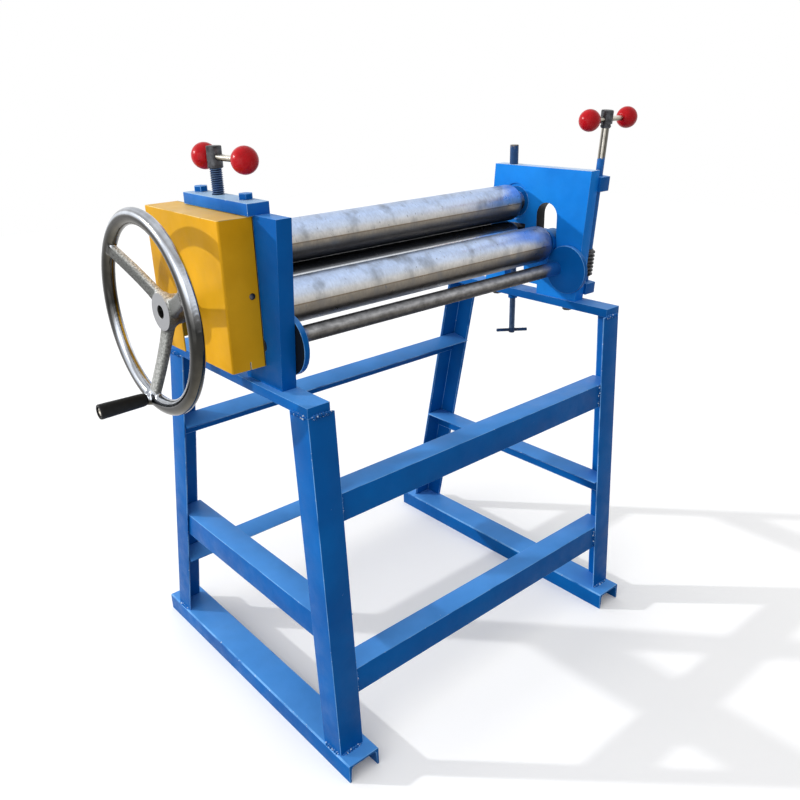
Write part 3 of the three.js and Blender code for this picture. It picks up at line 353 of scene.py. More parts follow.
ROLL_STEEL = roll_steel("bare_roll_steel", REFLECTION_BANDS, 0.75, 0.27, OILED_END)
PAINTED_SHADE_ROLL_STEEL = roll_steel("painted_shade_roll_steel", PAINTED_SHADE_BANDS, 0.2, 0.14, OILED_END)
SPRAYED_ROLL_STEEL = roll_steel("oversprayed_roll_steel", REFLECTION_BANDS, 0.75, 0.27, OVERSPRAY)
print("roll steel:", ROLL_STEEL.name, SPRAYED_ROLL_STEEL.name)

# %% [markdown]
# The cross tube is drawn steel tube with its grey mill skin on, rougher and browner than the
# rolls. Its ends were sprayed along with the discs. Its colour is a painted reflection in bands by
# the way it faces, with a painted highlight part way up and painted shade below.

# %% Tube steel
# Painted highlight and shade of the tube, by how far the surface faces up.
TUBE_REFLECTION_BANDS = [
    (-1.0, "1E1C1B"), (-0.4, "3E3B38"), (0.1, "6E6B67"), (0.5, "A8A8A9"), (0.85, "7A7B7E"),
    (1.0, "5C5D60")]


def tube_steel(name):
    material, tree = new_material(name)
    colour = mottled(
        tree, banded_colour(tree, TUBE_REFLECTION_BANDS), 10 * MM, (0.66, 1.24), (0.32, 0.68),
        stretch=(0.6, 1, 1), detail=12)
    colour, right = sprayed_end(
        tree, colour, tube_high.x - 62 * MM, tube_high.x - 34 * MM, BLUE_DEEP)
    colour, left = sprayed_end(tree, colour, tube_low.x + 50 * MM, tube_low.x + 26 * MM, BLUE_DEEP)
    painted = add_node(tree, "Math", {0: left, 1: right}, operation="MAXIMUM")
    return finished(
        material, Base_Color=colour,
        Metallic=add_node(tree, "Math", {0: 1.0, 1: painted}, operation="SUBTRACT"),
        Roughness=patches(tree, 6 * MM, (0.42, 0.62)), Normal=add_node(tree, "Bump", {
            "Height": patches(tree, 3 * MM, detail=5), "Distance": 0.12 * MM}))


TUBE_STEEL = tube_steel("mill_skin_tube")
print("tube steel:", TUBE_STEEL.name)

# %% [markdown]
# Small machined pieces come in a few finishes: bright drawn steel for the bars, drawn steel with
# paint on its lower end for the worm shaft and the lock pin, steel darkened by oil for hubs,
# gears and blocks, threads that caught some of the blue paint, and bearing bronze black with
# grease and painted shade. The bare drawn steel is coloured in bands of painted reflection by the
# way it faces.

# %% Machined metals
# Painted reflections of bare steel by the way the surface faces, in the next three tables.
DRAWN_REFLECTION_BANDS = [
    (-1.0, "4E483D"), (-0.35, "8A8476"), (0.1, "BDB7A9"), (0.5, "DEDACE"), (1.0, "E6E3DA")]
SHAFT_REFLECTION_BANDS = [
    (-1.0, "5E5B54"), (-0.93, "C8C4BA"), (-0.7, "B4B0A6"), (-0.55, "4E4B45"), (0.0, "6E6B64"),
    (0.4, "34322E"), (1.0, "56534C")]
PIN_REFLECTION_BANDS = [(-1.0, "8A8379"), (-0.3, "6A6259"), (0.5, "3E3A34"), (1.0, "4A453E")]
SHAFT_PAINT_TOP = right_plate_high.z + 24 * MM
pin_low, pin_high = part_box("bearing_lock_pin")


def drawn_steel(name):
    """Bars drawn bright, with a painted reflection: pale above and warm grey below."""
    material, tree = new_material(name, Metallic=1.0)
    return finished(
        material, Roughness=patches(tree, 6 * MM, (0.22, 0.36), detail=4), Base_Color=mottled(
            tree, banded_colour(tree, DRAWN_REFLECTION_BANDS), 20 * MM, (0.86, 1.06), detail=6))


def machined_metal(name, bright, dark, roughness):
    material, tree = new_material(name, Metallic=1.0)
    oil = patches(tree, 10 * MM, span=(0.35, 0.7), detail=5)
    return finished(
        material, Base_Color=add_node(tree, "Mix", {0: oil, 6: bright, 7: dark}, **COLOUR_MIX),
        Roughness=patches(tree, 4 * MM, roughness, detail=4),
        Normal=add_node(tree, "Bump", {"Height": patches(tree, 1.5 * MM), "Distance": 0.03 * MM}))


def part_painted_metal(name, bare_reflection_bands, paint, boundary, soft):
    """Bare metal above a height, in bands of painted reflection, and paint below it, with a ragged
    edge between them.
    """
    material, tree = new_material(name, Specular_IOR_Level=0.3)
    ragged = add_node(tree, "Math", {
        0: position(tree, "Z"), 1: patches(tree, 6 * MM, (-soft, soft))}, operation="ADD")
    bare = add_node(tree, "MapRange", {
        "Value": ragged, "From Min": boundary, "From Max": boundary + 1.5 * MM})
    colour = add_node(tree, "Mix", {
        0: bare, 6: paint, 7: banded_colour(tree, bare_reflection_bands, "X")}, **COLOUR_MIX)
    return finished(
        material, Base_Color=mottled(tree, colour, 12 * MM, (0.8, 1.08), detail=5), Metallic=bare,
        Roughness=add_node(tree, "MapRange", {"Value": bare, "To Min": 0.42, "To Max": 0.24}))


def threaded_steel(name, root, crest, paint, paint_share):
    """Threads that are dark in their roots and light on their crests, with paint on part."""
    material, tree = new_material(name, Metallic=0.5)
    height = add_node(tree, "Attribute", output="Fac", attribute_name="edge_and_crest")
    colour = add_node(tree, "Mix", {0: height, 6: root, 7: crest}, **COLOUR_MIX)
    caught = patches(
        tree, 9 * MM, (0, paint_share), (0.35, 0.65), stretch=(1, 1, 0.5), detail=5)
    return finished(
        material, Roughness=patches(tree, 4 * MM, (0.32, 0.5)),
        Base_Color=add_node(tree, "Mix", {0: caught, 6: colour, 7: paint}, **COLOUR_MIX))


BRIGHT_STEEL = drawn_steel("drawn_steel")
OILED_STEEL = machined_metal("oiled_steel", "56575A", "2A2A2C", (0.34, 0.52))
# Grease and painted shade: the bronze is darkened to near black.
BEARING_BRONZE = machined_metal("greased_and_shaded_bearing_bronze", "33291C", "17140F", (0.4, 0.6))
SHAFT_STEEL = part_painted_metal(
    "drawn_shaft_painted_below", SHAFT_REFLECTION_BANDS, BLUE_LIGHT, SHAFT_PAINT_TOP, 3 * MM)
PIN_STEEL = part_painted_metal(
    "lock_pin_painted_below", PIN_REFLECTION_BANDS, "164474", pin_high.z - 5 * MM, 7 * MM)
THREAD_STEEL = threaded_steel("paint_caught_threads", "0A1220", "5A7290", "1C4C90", 0.45)
SPECKLED_THREADS = threaded_steel("painted_threads", "0B2340", "6E86A2", "1C4474", 0.7)
print("machined metals ready, shaft bare above", round(SHAFT_PAINT_TOP, 3))

# %% [markdown]
# The handwheel is a grey iron casting with a thin plated skin. The rim was polished before
# plating, and the room that it mirrors is a painted reflection, bright above and dark below. The
# spokes and hub keep the sand-cast skin, which is rough to about 2 mm, drawn coarser so that it
# shows, and are painted lighter above and darker below as light and shade. The hub's face is
# machined flat, and its bore is painted near black as shade. The distance from the wheel's axis
# and the tilt of the surface tell them apart.

# %% Plated casting
RIM_INNER = 165 * MM
HUB_BORE = 12.5 * MM
FACED_RADIUS = 38 * MM
# Painted reflection of the polished rim.
RIM_REFLECTION_BANDS = [
    (-1.0, "32302B"), (-0.6, "5E5A50"), (-0.25, "3F3D38"), (0.04, "2E2E2D"), (0.16, "6C6C6C"),
    (0.28, "C6CCD6"), (0.45, "E0E6F0"), (0.62, "9C9EA2"), (0.8, "BDC2CA"), (1.0, "A6ABB4")]
# Painted light and shade of the spokes and hub.
CAST_LIGHT_AND_SHADE_BANDS = [
    (-1.0, "32312E"), (-0.3, "545553"), (0.05, "70726F"), (0.4, "9A9B98"), (0.75, "DCDCD8"),
    (1.0, "E6E6E2")]


def plated_casting(name, axis):
    material, tree = new_material(name)
    place = add_node(tree, "TexCoord", output="Object")
    across = add_node(tree, "VectorMath", {0: place, 1: (0, 1, 1)}, operation="MULTIPLY")
    from_axis = add_node(
        tree, "VectorMath", {0: across, 1: (0, axis.y, axis.z)}, "Value", operation="DISTANCE")
    polished = add_node(tree, "MapRange", {
        "Value": from_axis, "From Min": RIM_INNER - 6 * MM, "From Max": RIM_INNER + 2 * MM})
    flat = add_node(tree, "MapRange", {
        "Value": facing(tree, "X"), "From Min": -0.985, "From Max": -0.998})
    near_axis = add_node(tree, "Math", {0: from_axis, 1: FACED_RADIUS}, operation="LESS_THAN")
    faced = add_node(tree, "Math", {0: flat, 1: near_axis}, operation="MULTIPLY")
    sand = patches(tree, 3.4 * MM, (0.5, 1.3), (0.34, 0.66))
    colour = add_node(tree, "VectorMath", {
        0: banded_colour(tree, CAST_LIGHT_AND_SHADE_BANDS), "Scale": sand}, operation="SCALE")
    colour = add_node(tree, "Mix", {0: faced, 6: colour, 7: "96979A"}, **COLOUR_MIX)
    # Painted shade: the bore turns near black.
    bore = add_node(tree, "Math", {0: from_axis, 1: HUB_BORE + 0.4 * MM}, operation="LESS_THAN")
    colour = add_node(tree, "Mix", {0: bore, 6: colour, 7: "1D1C1B"}, **COLOUR_MIX)
    rim_colour = mottled(tree, banded_colour(tree, RIM_REFLECTION_BANDS), 30 * MM, (0.74, 1.12), detail=5)
    smooth = add_node(tree, "Math", {0: polished, 1: faced}, operation="MAXIMUM")
    rough = add_node(tree, "MapRange", {"Value": smooth, "To Min": 1.0, "To Max": 0.0})
    return finished(
        material,
        Base_Color=add_node(tree, "Mix", {0: polished, 6: colour, 7: rim_colour}, **COLOUR_MIX),
        Roughness=add_node(tree, "MapRange", {"Value": polished, "To Min": 0.5, "To Max": 0.16}),
        Metallic=add_node(tree, "MapRange", {"Value": polished, "To Min": 0.5, "To Max": 1.0}),
        Normal=add_node(tree, "Bump", {
            "Height": sand, "Distance": 0.45 * MM, "Strength": rough}))


PLATED_CASTING = plated_casting("plated_iron_casting", LOWER_AXIS)
print("casting:", PLATED_CASTING.name)

# %% [markdown]
# The ball knobs are phenolic, a hard glossy plastic that is moulded and tumbled smooth. The grip
# is black nylon with a fine spark-eroded texture. Plastics have an IOR of about 1.5.

# %% Plastics


def moulded_plastic(name, colour, worn_colour, roughness, grain_depth):
    material, tree = new_material(name, IOR=1.5, Specular_IOR_Level=0.16)
    handling = patches(tree, 12 * MM, (0.0, 0.6), (0.45, 0.75), detail=5)
    return finished(
        material,
        Base_Color=add_node(tree, "Mix", {0: handling, 6: colour, 7: worn_colour}, **COLOUR_MIX),
        Roughness=patches(tree, 5 * MM, (roughness * 0.8, roughness * 1.4), detail=4),
        Normal=add_node(tree, "Bump", {
            "Height": patches(tree, 1 * MM, detail=2), "Distance": grain_depth}))


RED_PHENOLIC = moulded_plastic("red_phenolic", "B80C18", "940810", 0.24, 0.01 * MM)
BLACK_NYLON = moulded_plastic("black_nylon", "121314", "1E2021", 0.42, 0.06 * MM)
print("plastics:", RED_PHENOLIC.name, BLACK_NYLON.name)

# %% [markdown]
# Every finished piece goes through one door: it gets its faces smoothed up to a crease angle, its
# material, and the body of a CAD node. A piece that dresses a node also stands in for it.

# %% Placing a piece
CREASE = math.radians(32)


def object_from(form, name, turn_outward=True):
    """Turns a bmesh into an object of the scene and frees it."""
    mesh = bpy.data.meshes.new(name)
    if turn_outward:
        bmesh.ops.recalc_face_normals(form, faces=form.faces)
    form.to_mesh(mesh)
    form.free()
    made = bpy.data.objects.new(name, mesh)
    scene.collection.objects.link(made)
    return made


def add_piece(name, form, material, node_name, crease=CREASE):
    """Turns a bmesh into a piece that moves with a CAD node.

    Curved surfaces are made of faces with three or four corners, and only those are shaded smooth.
    """
    piece = object_from(form, name)
    piece.data.set_sharp_from_angle(angle=crease)
    for face in piece.data.polygons:
        face.use_smooth = len(face.vertices) <= 4
    piece.data.materials.append(material)
    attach(piece, body_of[node_name])
    return piece


def dress(node_name, finish, form, material, crease=CREASE):
    """Adds the piece that replaces a CAD node. It is named after the node and its finish."""
    piece = add_piece(f"{node_name}_{finish}", form, material, node_name, crease)
    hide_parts(node_name)
    return piece


print("crease angle:", round(math.degrees(CREASE)), "degrees")

# %% [markdown]
# Many pieces keep the shape of their CAD solid and only lose its sharp edges. Rounding catches
# the light and gives the paint an edge to chip at.

# %% Softened CAD solids


def cleaned_form(node_name):
    """The CAD node's solid as a bmesh with its flat faces whole again."""
    form = bmesh.new()
    form.from_mesh(nodes[node_name].data)
    bmesh.ops.remove_doubles(form, verts=form.verts, dist=0.002 * MM)
    bmesh.ops.dissolve_limit(
        form, angle_limit=math.radians(1), verts=form.verts, edges=form.edges)
    return form


def soften_edges(form, width, segments=3, angle=35):
    """Rounds the sharp edges and marks the rounded faces with a value of 1."""
    layer = form.faces.layers.float.new("edge_and_crest")
    sharp = [
        edge for edge in form.edges
        if len(edge.link_faces) == 2 and edge.calc_face_angle(0) > math.radians(angle)]
    rounded = bmesh.ops.bevel(
        form, geom=sharp, offset=width, offset_type="OFFSET", segments=segments, profile=0.5,
        affect="EDGES", clamp_overlap=True)
    for face in rounded["faces"]:
        face[layer] = 1.0
    return form


def dress_softened(node_names, finish, material, width, **settings):
    for name in node_names:
        dress(name, finish, soften_edges(cleaned_form(name), width, **settings), material)


def nodes_named(*starts):
    return [name for name in nodes if name.startswith(starts)]


print("faces of a leg:", len(cleaned_form("leg_front_left").faces))

# %% [markdown]
# The stand is rolled angle, channel and flat bar, welded and painted. The CAD solids already have
# the right sections, and their edges are rounded as hot-rolled steel is.

# %% Painted stand
ROLLED_EDGE = 1.3 * MM
STAND_PIECES = nodes_named("foot_", "leg_", "top_rail_", "side_tie_", "rail_")
dress_softened(STAND_PIECES, "painted", BLUE_ENAMEL, ROLLED_EDGE)
print("stand pieces:", len(STAND_PIECES))

# %% [markdown]
# The bending roll's bushes slide in the slots of the end plates, and the eccentric discs turn
# close to the plates. Both places lie in shade, which is painted: the faces there get a value
# before the edges are rounded, and where it is 1 the paint turns near black.

# %% Painted shade on sliding faces
SLOT_REACH = 34 * MM
SLOT_RISE = 108.8 * MM


def with_painted_shade(form, is_greased):
    """Sets the value of painted shade of the faces that a test picks to 1."""
    layer = form.faces.layers.float.new("painted_shade")
    for face in form.faces:
        face[layer] = float(is_greased(face))
    return form


def in_bending_slot(face):
    """Whether a face belongs to the wall of the bending roll's slot."""
    place = face.calc_center_median() - BENDING_AXIS
    return (
        abs(face.normal.x) < 0.3 and abs(place.y) < SLOT_REACH
        and -SLOT_REACH < place.z < SLOT_RISE)


print("faces in the slot:", sum(map(in_bending_slot, cleaned_form("end_plate_right").faces)))

# %% [markdown]
# The end plates are flame-cut from thick plate, so their edges are rounder than the stand's. The
# cap plate has a chamfer ground on its upper edges.

# %% Painted head: plates, blocks, cap and bolts
PLATE_EDGE = 2.0 * MM
CAP_CHAMFER = 3 * MM
BOLT_EDGE = 0.9 * MM
# The right end plate takes the lighter copy of the blue, as painted sunlight.
for name, paint in (("end_plate_left", BLUE_ENAMEL), ("end_plate_right", SUNLIT_PLATE_ENAMEL)):
    # Painted shade on the walls of the bending roll's slot.
    plate = with_painted_shade(cleaned_form(name), in_bending_slot)
    dress(name, "painted", soften_edges(plate, PLATE_EDGE), paint)
dress_softened(nodes_named("worm_block_"), "painted", BLUE_ENAMEL, PLATE_EDGE)
dress_softened(["cap_plate"], "painted", DUST_AND_SHEEN_ENAMEL, CAP_CHAMFER, segments=2, angle=60)
dress_softened(nodes_named("cap_bolt_"), "painted", BLUE_ENAMEL, BOLT_EDGE)
dress_softened(nodes_named("plate_bolt_"), "oiled", OILED_STEEL, BOLT_EDGE)
print("head pieces painted")

# %% [markdown]
# The legs are welded to the feet and to the top rails, and the front rails to the legs. A bead of
# weld is a row of frozen ripples, drawn coarser than they are so that they show. Each is a
# rippled rod that is half sunk in the corner that it fills, under paint with dark hollows and
# pale specks of spatter. Like most round forms it is drawn as a row of rings with a skin over
# them.

# %% Weld beads
BEAD_RADIUS = 4.4 * MM
BEAD_INSET = 4 * MM
BEAD_CORNERS = 10
RIPPLE = 7 * MM


def skin_rings(form, rings, capped=False):
    """Joins each ring of corners to the next one with faces. A ring of one corner is a tip."""
    for first, second in zip(rings, rings[1:]):
        for i in range(max(len(first), len(second))):
            corners = [
                first[i % len(first)], first[(i + 1) % len(first)],
                second[(i + 1) % len(second)], second[i % len(second)]]
            unique = list(dict.fromkeys(corners))
            if len(unique) > 2:
                form.faces.new(unique)
    if capped:
        form.faces.new(rings[0])
        form.faces.new(rings[-1])


def weld_bead(form, start, end):
    """A rippled rod from start to end whose ends taper off."""
    start, end = Vector(start), Vector(end)
    along = end - start
    steps = max(8, round(along.length / (RIPPLE / 4)))
    side = along.normalized().cross(Vector((0.3, 0.5, 0.8))).normalized()
    other = along.normalized().cross(side)
    rings = []
    for i in range(steps + 1):
        share = i / steps
        place = share * along.length
        taper = min(1, 5 * share + 0.2, 5 * (1 - share) + 0.2)
        radius = BEAD_RADIUS * taper * (1 + 0.24 * math.sin(2 * math.pi * place / RIPPLE))
        drift = side * (0.5 * MM * math.sin(place / (9 * MM))) + other * (
            0.4 * MM * math.sin(place / (6 * MM) + 1))
        middle = start + along * share + drift
        turns = [2 * math.pi * k / BEAD_CORNERS for k in range(BEAD_CORNERS)]
        rings.append([
            form.verts.new(middle + radius * (side * math.cos(turn) + other * math.sin(turn)))
            for turn in turns])
    skin_rings(form, rings, capped=True)


def corners_of(name):
    return [vert.co for vert in nodes[name].data.vertices]


bead_form = bmesh.new()
for name in nodes_named("leg_"):
    for lowest_or_highest in (min, max):
        z = lowest_or_highest(corner.z for corner in corners_of(name))
        cut_end = [corner for corner in corners_of(name) if abs(corner.z - z) < 1 * MM]
        left, right = min(corner.x for corner in cut_end), max(corner.x for corner in cut_end)
        front, rear = min(corner.y for corner in cut_end), max(corner.y for corner in cut_end)
        outer_x = left if "left" in name else right
        outer_y = front if "front" in name else rear
        weld_bead(bead_form, (left + BEAD_INSET, outer_y, z), (right - BEAD_INSET, outer_y, z))
        weld_bead(bead_form, (outer_x, front + BEAD_INSET, z), (outer_x, rear - BEAD_INSET, z))
leg_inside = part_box("leg_front_left")[1].x
for name in ("rail_front_upper", "rail_front_lower"):
    bottom = min(corners_of(name), key=lambda corner: (corner.z, corner.y))
    upper = [corner for corner in corners_of(name) if corner.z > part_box(name)[1].z - 8 * MM]
    top = min(upper, key=lambda corner: corner.y)
    for x in (leg_inside, 2 * MIDDLE_X - leg_inside):
        weld_bead(bead_form, (x, bottom.y, bottom.z), (x, top.y, top.z))
add_piece("weld_beads", bead_form, BEAD_ENAMEL, "foot_left")
print("bead ripples:", round(RIPPLE / MM, 1), "mm apart")

# %% [markdown]
# Round pieces are turned on a lathe, so they are drawn the same way: a profile of points is swept
# round an axis in many fine steps. The profile gives the place along the axis and the radius.

# %% Turning on a lathe
FINE = 96


def turned_form(profile, axis, centre=(0, 0, 0), steps=FINE, form=None):
    """Sweeps (place, radius) points round an axis through a centre. Radius 0 closes an end."""
    form = form or bmesh.new()
    along, across, upward = {"x": (0, 1, 2), "y": (1, 0, 2), "z": (2, 0, 1)}[axis]
    rings = []
    for place, radius in profile:
        ring = []
        for i in range(steps if radius > 1e-7 else 1):
            angle = 2 * math.pi * i / steps
            point = Vector(centre)
            point[along] = place
            point[across] += radius * math.cos(angle)
            point[upward] += radius * math.sin(angle)
            ring.append(form.verts.new(point))
        rings.append(ring)
    skin_rings(form, rings)
    return form


def corner_arc(place, radius, size, start, end, steps=6):
    """Points of a rounded corner in a profile, between two angles in degrees."""
    points = []
    for i in range(steps + 1):
        angle = math.radians(start + (end - start) * i / steps)
        points.append((place + size * math.cos(angle), radius + size * math.sin(angle)))
    return points


def measured_profile(start, *points):
    """Profile from (place, radius) points in millimetres, with places counted from a start."""
    return [(start + place * MM, radius * MM) for place, radius in points]


def rod_profile(start, end, radius, chamfer=0.8 * MM):
    return [
        (start, 0), (start, radius - chamfer), (start + chamfer, radius),
        (end - chamfer, radius), (end, radius - chamfer), (end, 0)]


print("lathe steps:", FINE)

# %% [markdown]
# Each roll is one steel bar: a thick body with rounded shoulders and thinner journals that run in
# the bearings. The three bodies are the same, and only the shaft ends differ.

# %% Rolls
ROLL_RADIUS = 45 * MM
ROLL_HALF = 408 * MM
SHOULDER = 20 * MM
JOURNAL_RADIUS = 25 * MM
SEAT_RADIUS = 20 * MM
WHEEL_SEAT_RADIUS = 12.2 * MM
STEP_X = 2 * MIDDLE_X - right_plate_high.x - 2 * MM


def roll_profile(left_steps, right_end):
    """Profile from the left end: steps of (start, radius), then the body and right journal."""
    profile = []
    radius = 0
    for start, next_radius in left_steps:
        profile += [(start, radius), (start + 0.8 * MM, next_radius)]
        radius = next_radius
    left, right = MIDDLE_X - ROLL_HALF, MIDDLE_X + ROLL_HALF
    profile += [(left, JOURNAL_RADIUS)]
    profile += corner_arc(left + SHOULDER, ROLL_RADIUS - SHOULDER, SHOULDER, 180, 90)
    profile += [(left + (right - left) * i / 8, ROLL_RADIUS) for i in range(1, 8)]
    profile += corner_arc(right - SHOULDER, ROLL_RADIUS - SHOULDER, SHOULDER, 90, 0)
    profile += [(right, JOURNAL_RADIUS), (right_end - 1 * MM, JOURNAL_RADIUS)]
    return profile + [(right_end, JOURNAL_RADIUS - 1 * MM), (right_end, 0)]


rolls = {
    "upper_roll": (UPPER_AXIS, ROLL_STEEL, SEAT_RADIUS, [(STEP_X, JOURNAL_RADIUS)]),
    "lower_roll": (LOWER_AXIS, PAINTED_SHADE_ROLL_STEEL, WHEEL_SEAT_RADIUS, [
        (HUB_BACK + 0.3 * MM, SEAT_RADIUS), (STEP_X, JOURNAL_RADIUS)]),
    "bending_roll": (BENDING_AXIS, SPRAYED_ROLL_STEEL, JOURNAL_RADIUS, [])}
for name, (axis, steel, end_radius, steps) in rolls.items():
    low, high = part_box(name)
    profile = roll_profile([(low.x, end_radius), *steps], high.x)
    dress(name, "turned", turned_form(profile, "x", axis), steel)
print("rolls:", ", ".join(rolls))

# %% [markdown]
# Gears, blocks and bushes keep their CAD shape with fine machined edges. Two of the bushes caught
# the blue paint, and the other two show their bronze. The discs' outer sides are painted near
# black as shade.

# %% Bearings, gears, discs and the cross tube
MACHINED_EDGE = 0.5 * MM
DISC_EDGE = 0.8 * MM
TUBE_RADIUS = 17 * MM
TUBE_BORE = 13.8 * MM
OILED_NODES = (
    "upper_bearing_block", "lower_bearing_block", "upper_roll_gear", "lower_roll_gear",
    "worm_wheel", "worm", "pressure_pad", "lower_screw_pad")
dress_softened(OILED_NODES, "machined", OILED_STEEL, MACHINED_EDGE, segments=2)
dress_softened(
    ("lower_bearing_bush", "bending_bush_left"), "machined", BEARING_BRONZE, MACHINED_EDGE,
    segments=2)
dress_softened(
    ("upper_bearing_bush", "bending_bush_right"), "painted", BLUE_ENAMEL, MACHINED_EDGE)
tube_profile = [
    (tube_low.x, TUBE_BORE), (tube_low.x, TUBE_RADIUS), (tube_high.x, TUBE_RADIUS),
    (tube_high.x, TUBE_BORE), (tube_low.x, TUBE_BORE)]
dress("cross_tube", "drawn", turned_form(tube_profile, "x", centre_of("cross_tube")), TUBE_STEEL)
for name, side in (("cam_disc_left", -1), ("cam_disc_right", 1)):
    # Painted shade on the disc's outer side.
    disc = with_painted_shade(cleaned_form(name), lambda face: face.normal.x * side > 0.9)
    dress(name, "painted", soften_edges(disc, DISC_EDGE), BLUE_ENAMEL)
print("tube from", round(tube_low.x, 3), "to", round(tube_high.x, 3))

# %% [markdown]
# Some pieces need one solid cut from another, or several solids melted into one as a casting is.
# Both are done with a modifier on a helper object, whose result is read back and the helper
# removed.

# %% Cutting and casting
CAST_VOXEL = 1.9 * MM
CAST_SMOOTHING = 7


def modified_form(form, kind, cutter=None, **settings):
    """Applies one modifier to a bmesh, with a second bmesh as its cutter if there is one."""
    helpers = [object_from(shape, "helper") for shape in (form, cutter) if shape is not None]
    modifier = helpers[0].modifiers.new("change", kind)
    if cutter is not None:
        modifier.object = helpers[1]
    for name, value in settings.items():
        setattr(modifier, name, value)
    result = bmesh.new()
    result.from_object(helpers[0], bpy.context.evaluated_depsgraph_get())
    for helper in helpers:
        mesh = helper.data
        bpy.data.objects.remove(helper)
        bpy.data.meshes.remove(mesh)
    return result


def cut_form(form, cutter):
    return modified_form(form, "BOOLEAN", cutter, operation="DIFFERENCE", solver="EXACT")


def cast_form(form):
    """Melts overlapping shells into one skin and rounds the corners between them."""
    skin = modified_form(form, "REMESH", mode="VOXEL", voxel_size=CAST_VOXEL)
    for _ in range(CAST_SMOOTHING):
        bmesh.ops.smooth_vert(
            skin, verts=skin.verts, factor=0.5, use_axis_x=True, use_axis_y=True, use_axis_z=True)
    return skin


print("casting voxel:", round(CAST_VOXEL / MM, 1), "mm")

# %% [markdown]
# The handwheel is one iron casting. Its rim is oval in section, three spokes run from the hub out
# and forward to the rim and taper on the way, and a boss on the rim carries the grip. The shells
# are drawn one by one and melted together with soft corners. The hub's face and the bores are cut
# last, as on the real one.

# %% Handwheel
WHEEL_RADIUS = 198 * MM
RIM_RADIAL_HALF = 16 * MM
RIM_AXIAL_HALF = 13 * MM
RIM_STEPS, RIM_CORNERS = 160, 28
SPOKE_HALF_WIDTH = 15.6 * MM
SPOKE_HALF_DEPTH = 7.6 * MM
SPOKE_EDGE = 3.6 * MM
SPOKE_LAG = math.radians(-3.5)
SPOKE_STEPS = 24
HUB_NECK = 30 * MM
BOSS_RADIUS = 13 * MM
SPINDLE_BORE = 6.3 * MM
HUB_FACE_X = HUB_BACK - 48 * MM
RIM_X = HUB_FACE_X - 21 * MM
BOSS_FACE_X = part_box("handwheel")[0].x
GRIP_AXIS = centre_of("grip")
SPOKE_OUTLINE = [
    point for side, front, start in ((1, 1, 0), (-1, 1, 90), (-1, -1, 180), (1, -1, 270))
    for point in corner_arc(
        side * (SPOKE_HALF_WIDTH - SPOKE_EDGE), front * (SPOKE_HALF_DEPTH - SPOKE_EDGE),
        SPOKE_EDGE, start, start + 90, steps=4)]


def oval_rim(form):
    rings = []
    for i in range(RIM_STEPS):
        turn = 2 * math.pi * i / RIM_STEPS
        ring = []
        for k in range(RIM_CORNERS):
            angle = 2 * math.pi * k / RIM_CORNERS
            radius = WHEEL_RADIUS - RIM_RADIAL_HALF + RIM_RADIAL_HALF * math.sin(angle)
            ring.append(form.verts.new((
                RIM_X + RIM_AXIAL_HALF * math.cos(angle), LOWER_AXIS.y + radius * math.cos(turn),
                LOWER_AXIS.z + radius * math.sin(turn))))
        rings.append(ring)
    skin_rings(form, rings + rings[:1])


def dished_spoke(form, turn):
    """A bar from inside the hub to the rim. It dishes forward and flares at its root."""
    outward = Vector((0, math.cos(turn), math.sin(turn)))
    sideways = Vector((0, -math.sin(turn), math.cos(turn)))
    inner, outer = HUB_NECK - 12 * MM, WHEEL_RADIUS - 2 * RIM_RADIAL_HALF + 4 * MM
    root_x, dish = HUB_FACE_X + 15 * MM, 15 * MM + HUB_FACE_X - RIM_X + 4 * MM
    rings = []
    for i in range(SPOKE_STEPS + 1):
        share = i / SPOKE_STEPS
        slim = 1.0 + 0.4 * max(0, 1 - share / 0.3) ** 2 - 0.12 * share
        middle = Vector((root_x - dish * share ** 1.3, LOWER_AXIS.y, LOWER_AXIS.z))
        middle += outward * (inner + (outer - inner) * share)
        rings.append([
            form.verts.new(middle + sideways * across * slim + Vector((forward, 0, 0)))
            for across, forward in SPOKE_OUTLINE])
    skin_rings(form, rings, capped=True)


def handwheel_form():
    form = bmesh.new()
    oval_rim(form)
    grip_turn = math.atan2(GRIP_AXIS.z - LOWER_AXIS.z, GRIP_AXIS.y - LOWER_AXIS.y)
    for i in range(3):
        dished_spoke(form, grip_turn + SPOKE_LAG + 2 * math.pi * i / 3)
    hub = measured_profile(
        HUB_FACE_X, (-3, 0), (-3, 36), (1, 37), (15, 37), (27, 30), (47, 28), (48, 27), (48, 0))
    turned_form(hub, "x", LOWER_AXIS, form=form)
    turned_form([
        (BOSS_FACE_X, 0), (BOSS_FACE_X, BOSS_RADIUS - 1 * MM), (BOSS_FACE_X + 1 * MM, BOSS_RADIUS),
        (RIM_X, BOSS_RADIUS + 2 * MM), (RIM_X + 6 * MM, BOSS_RADIUS), (RIM_X + 6 * MM, 0),
    ], "x", GRIP_AXIS, form=form)
    skin = cast_form(form)
    facing_cut = measured_profile(HUB_FACE_X, (-9, 0), (-9, 39), (0, 39), (0, 0))
    bore = [
        (HUB_FACE_X - 2 * MM, 0), (HUB_FACE_X - 2 * MM, HUB_BORE + 2.8 * MM),
        (HUB_FACE_X + 0.8 * MM, HUB_BORE), (HUB_BACK + 2 * MM, HUB_BORE), (HUB_BACK + 2 * MM, 0)]
    spindle_bore = [
        (BOSS_FACE_X - 2 * MM, 0), (BOSS_FACE_X - 2 * MM, SPINDLE_BORE),
        (RIM_X + 6.5 * MM, SPINDLE_BORE), (RIM_X + 6.5 * MM, 0)]
    for cutter, axis in ((facing_cut, LOWER_AXIS), (bore, LOWER_AXIS), (spindle_bore, GRIP_AXIS)):
        skin = cut_form(skin, turned_form(cutter, "x", axis))
    return skin


wheel = dress("handwheel", "cast", handwheel_form(), PLATED_CASTING, crease=math.radians(50))
print("handwheel faces:", len(wheel.data.polygons))

# %% [markdown]
# The grip is a long swell that turns on a steel spindle. The spindle's head is sunk in its far
# end.

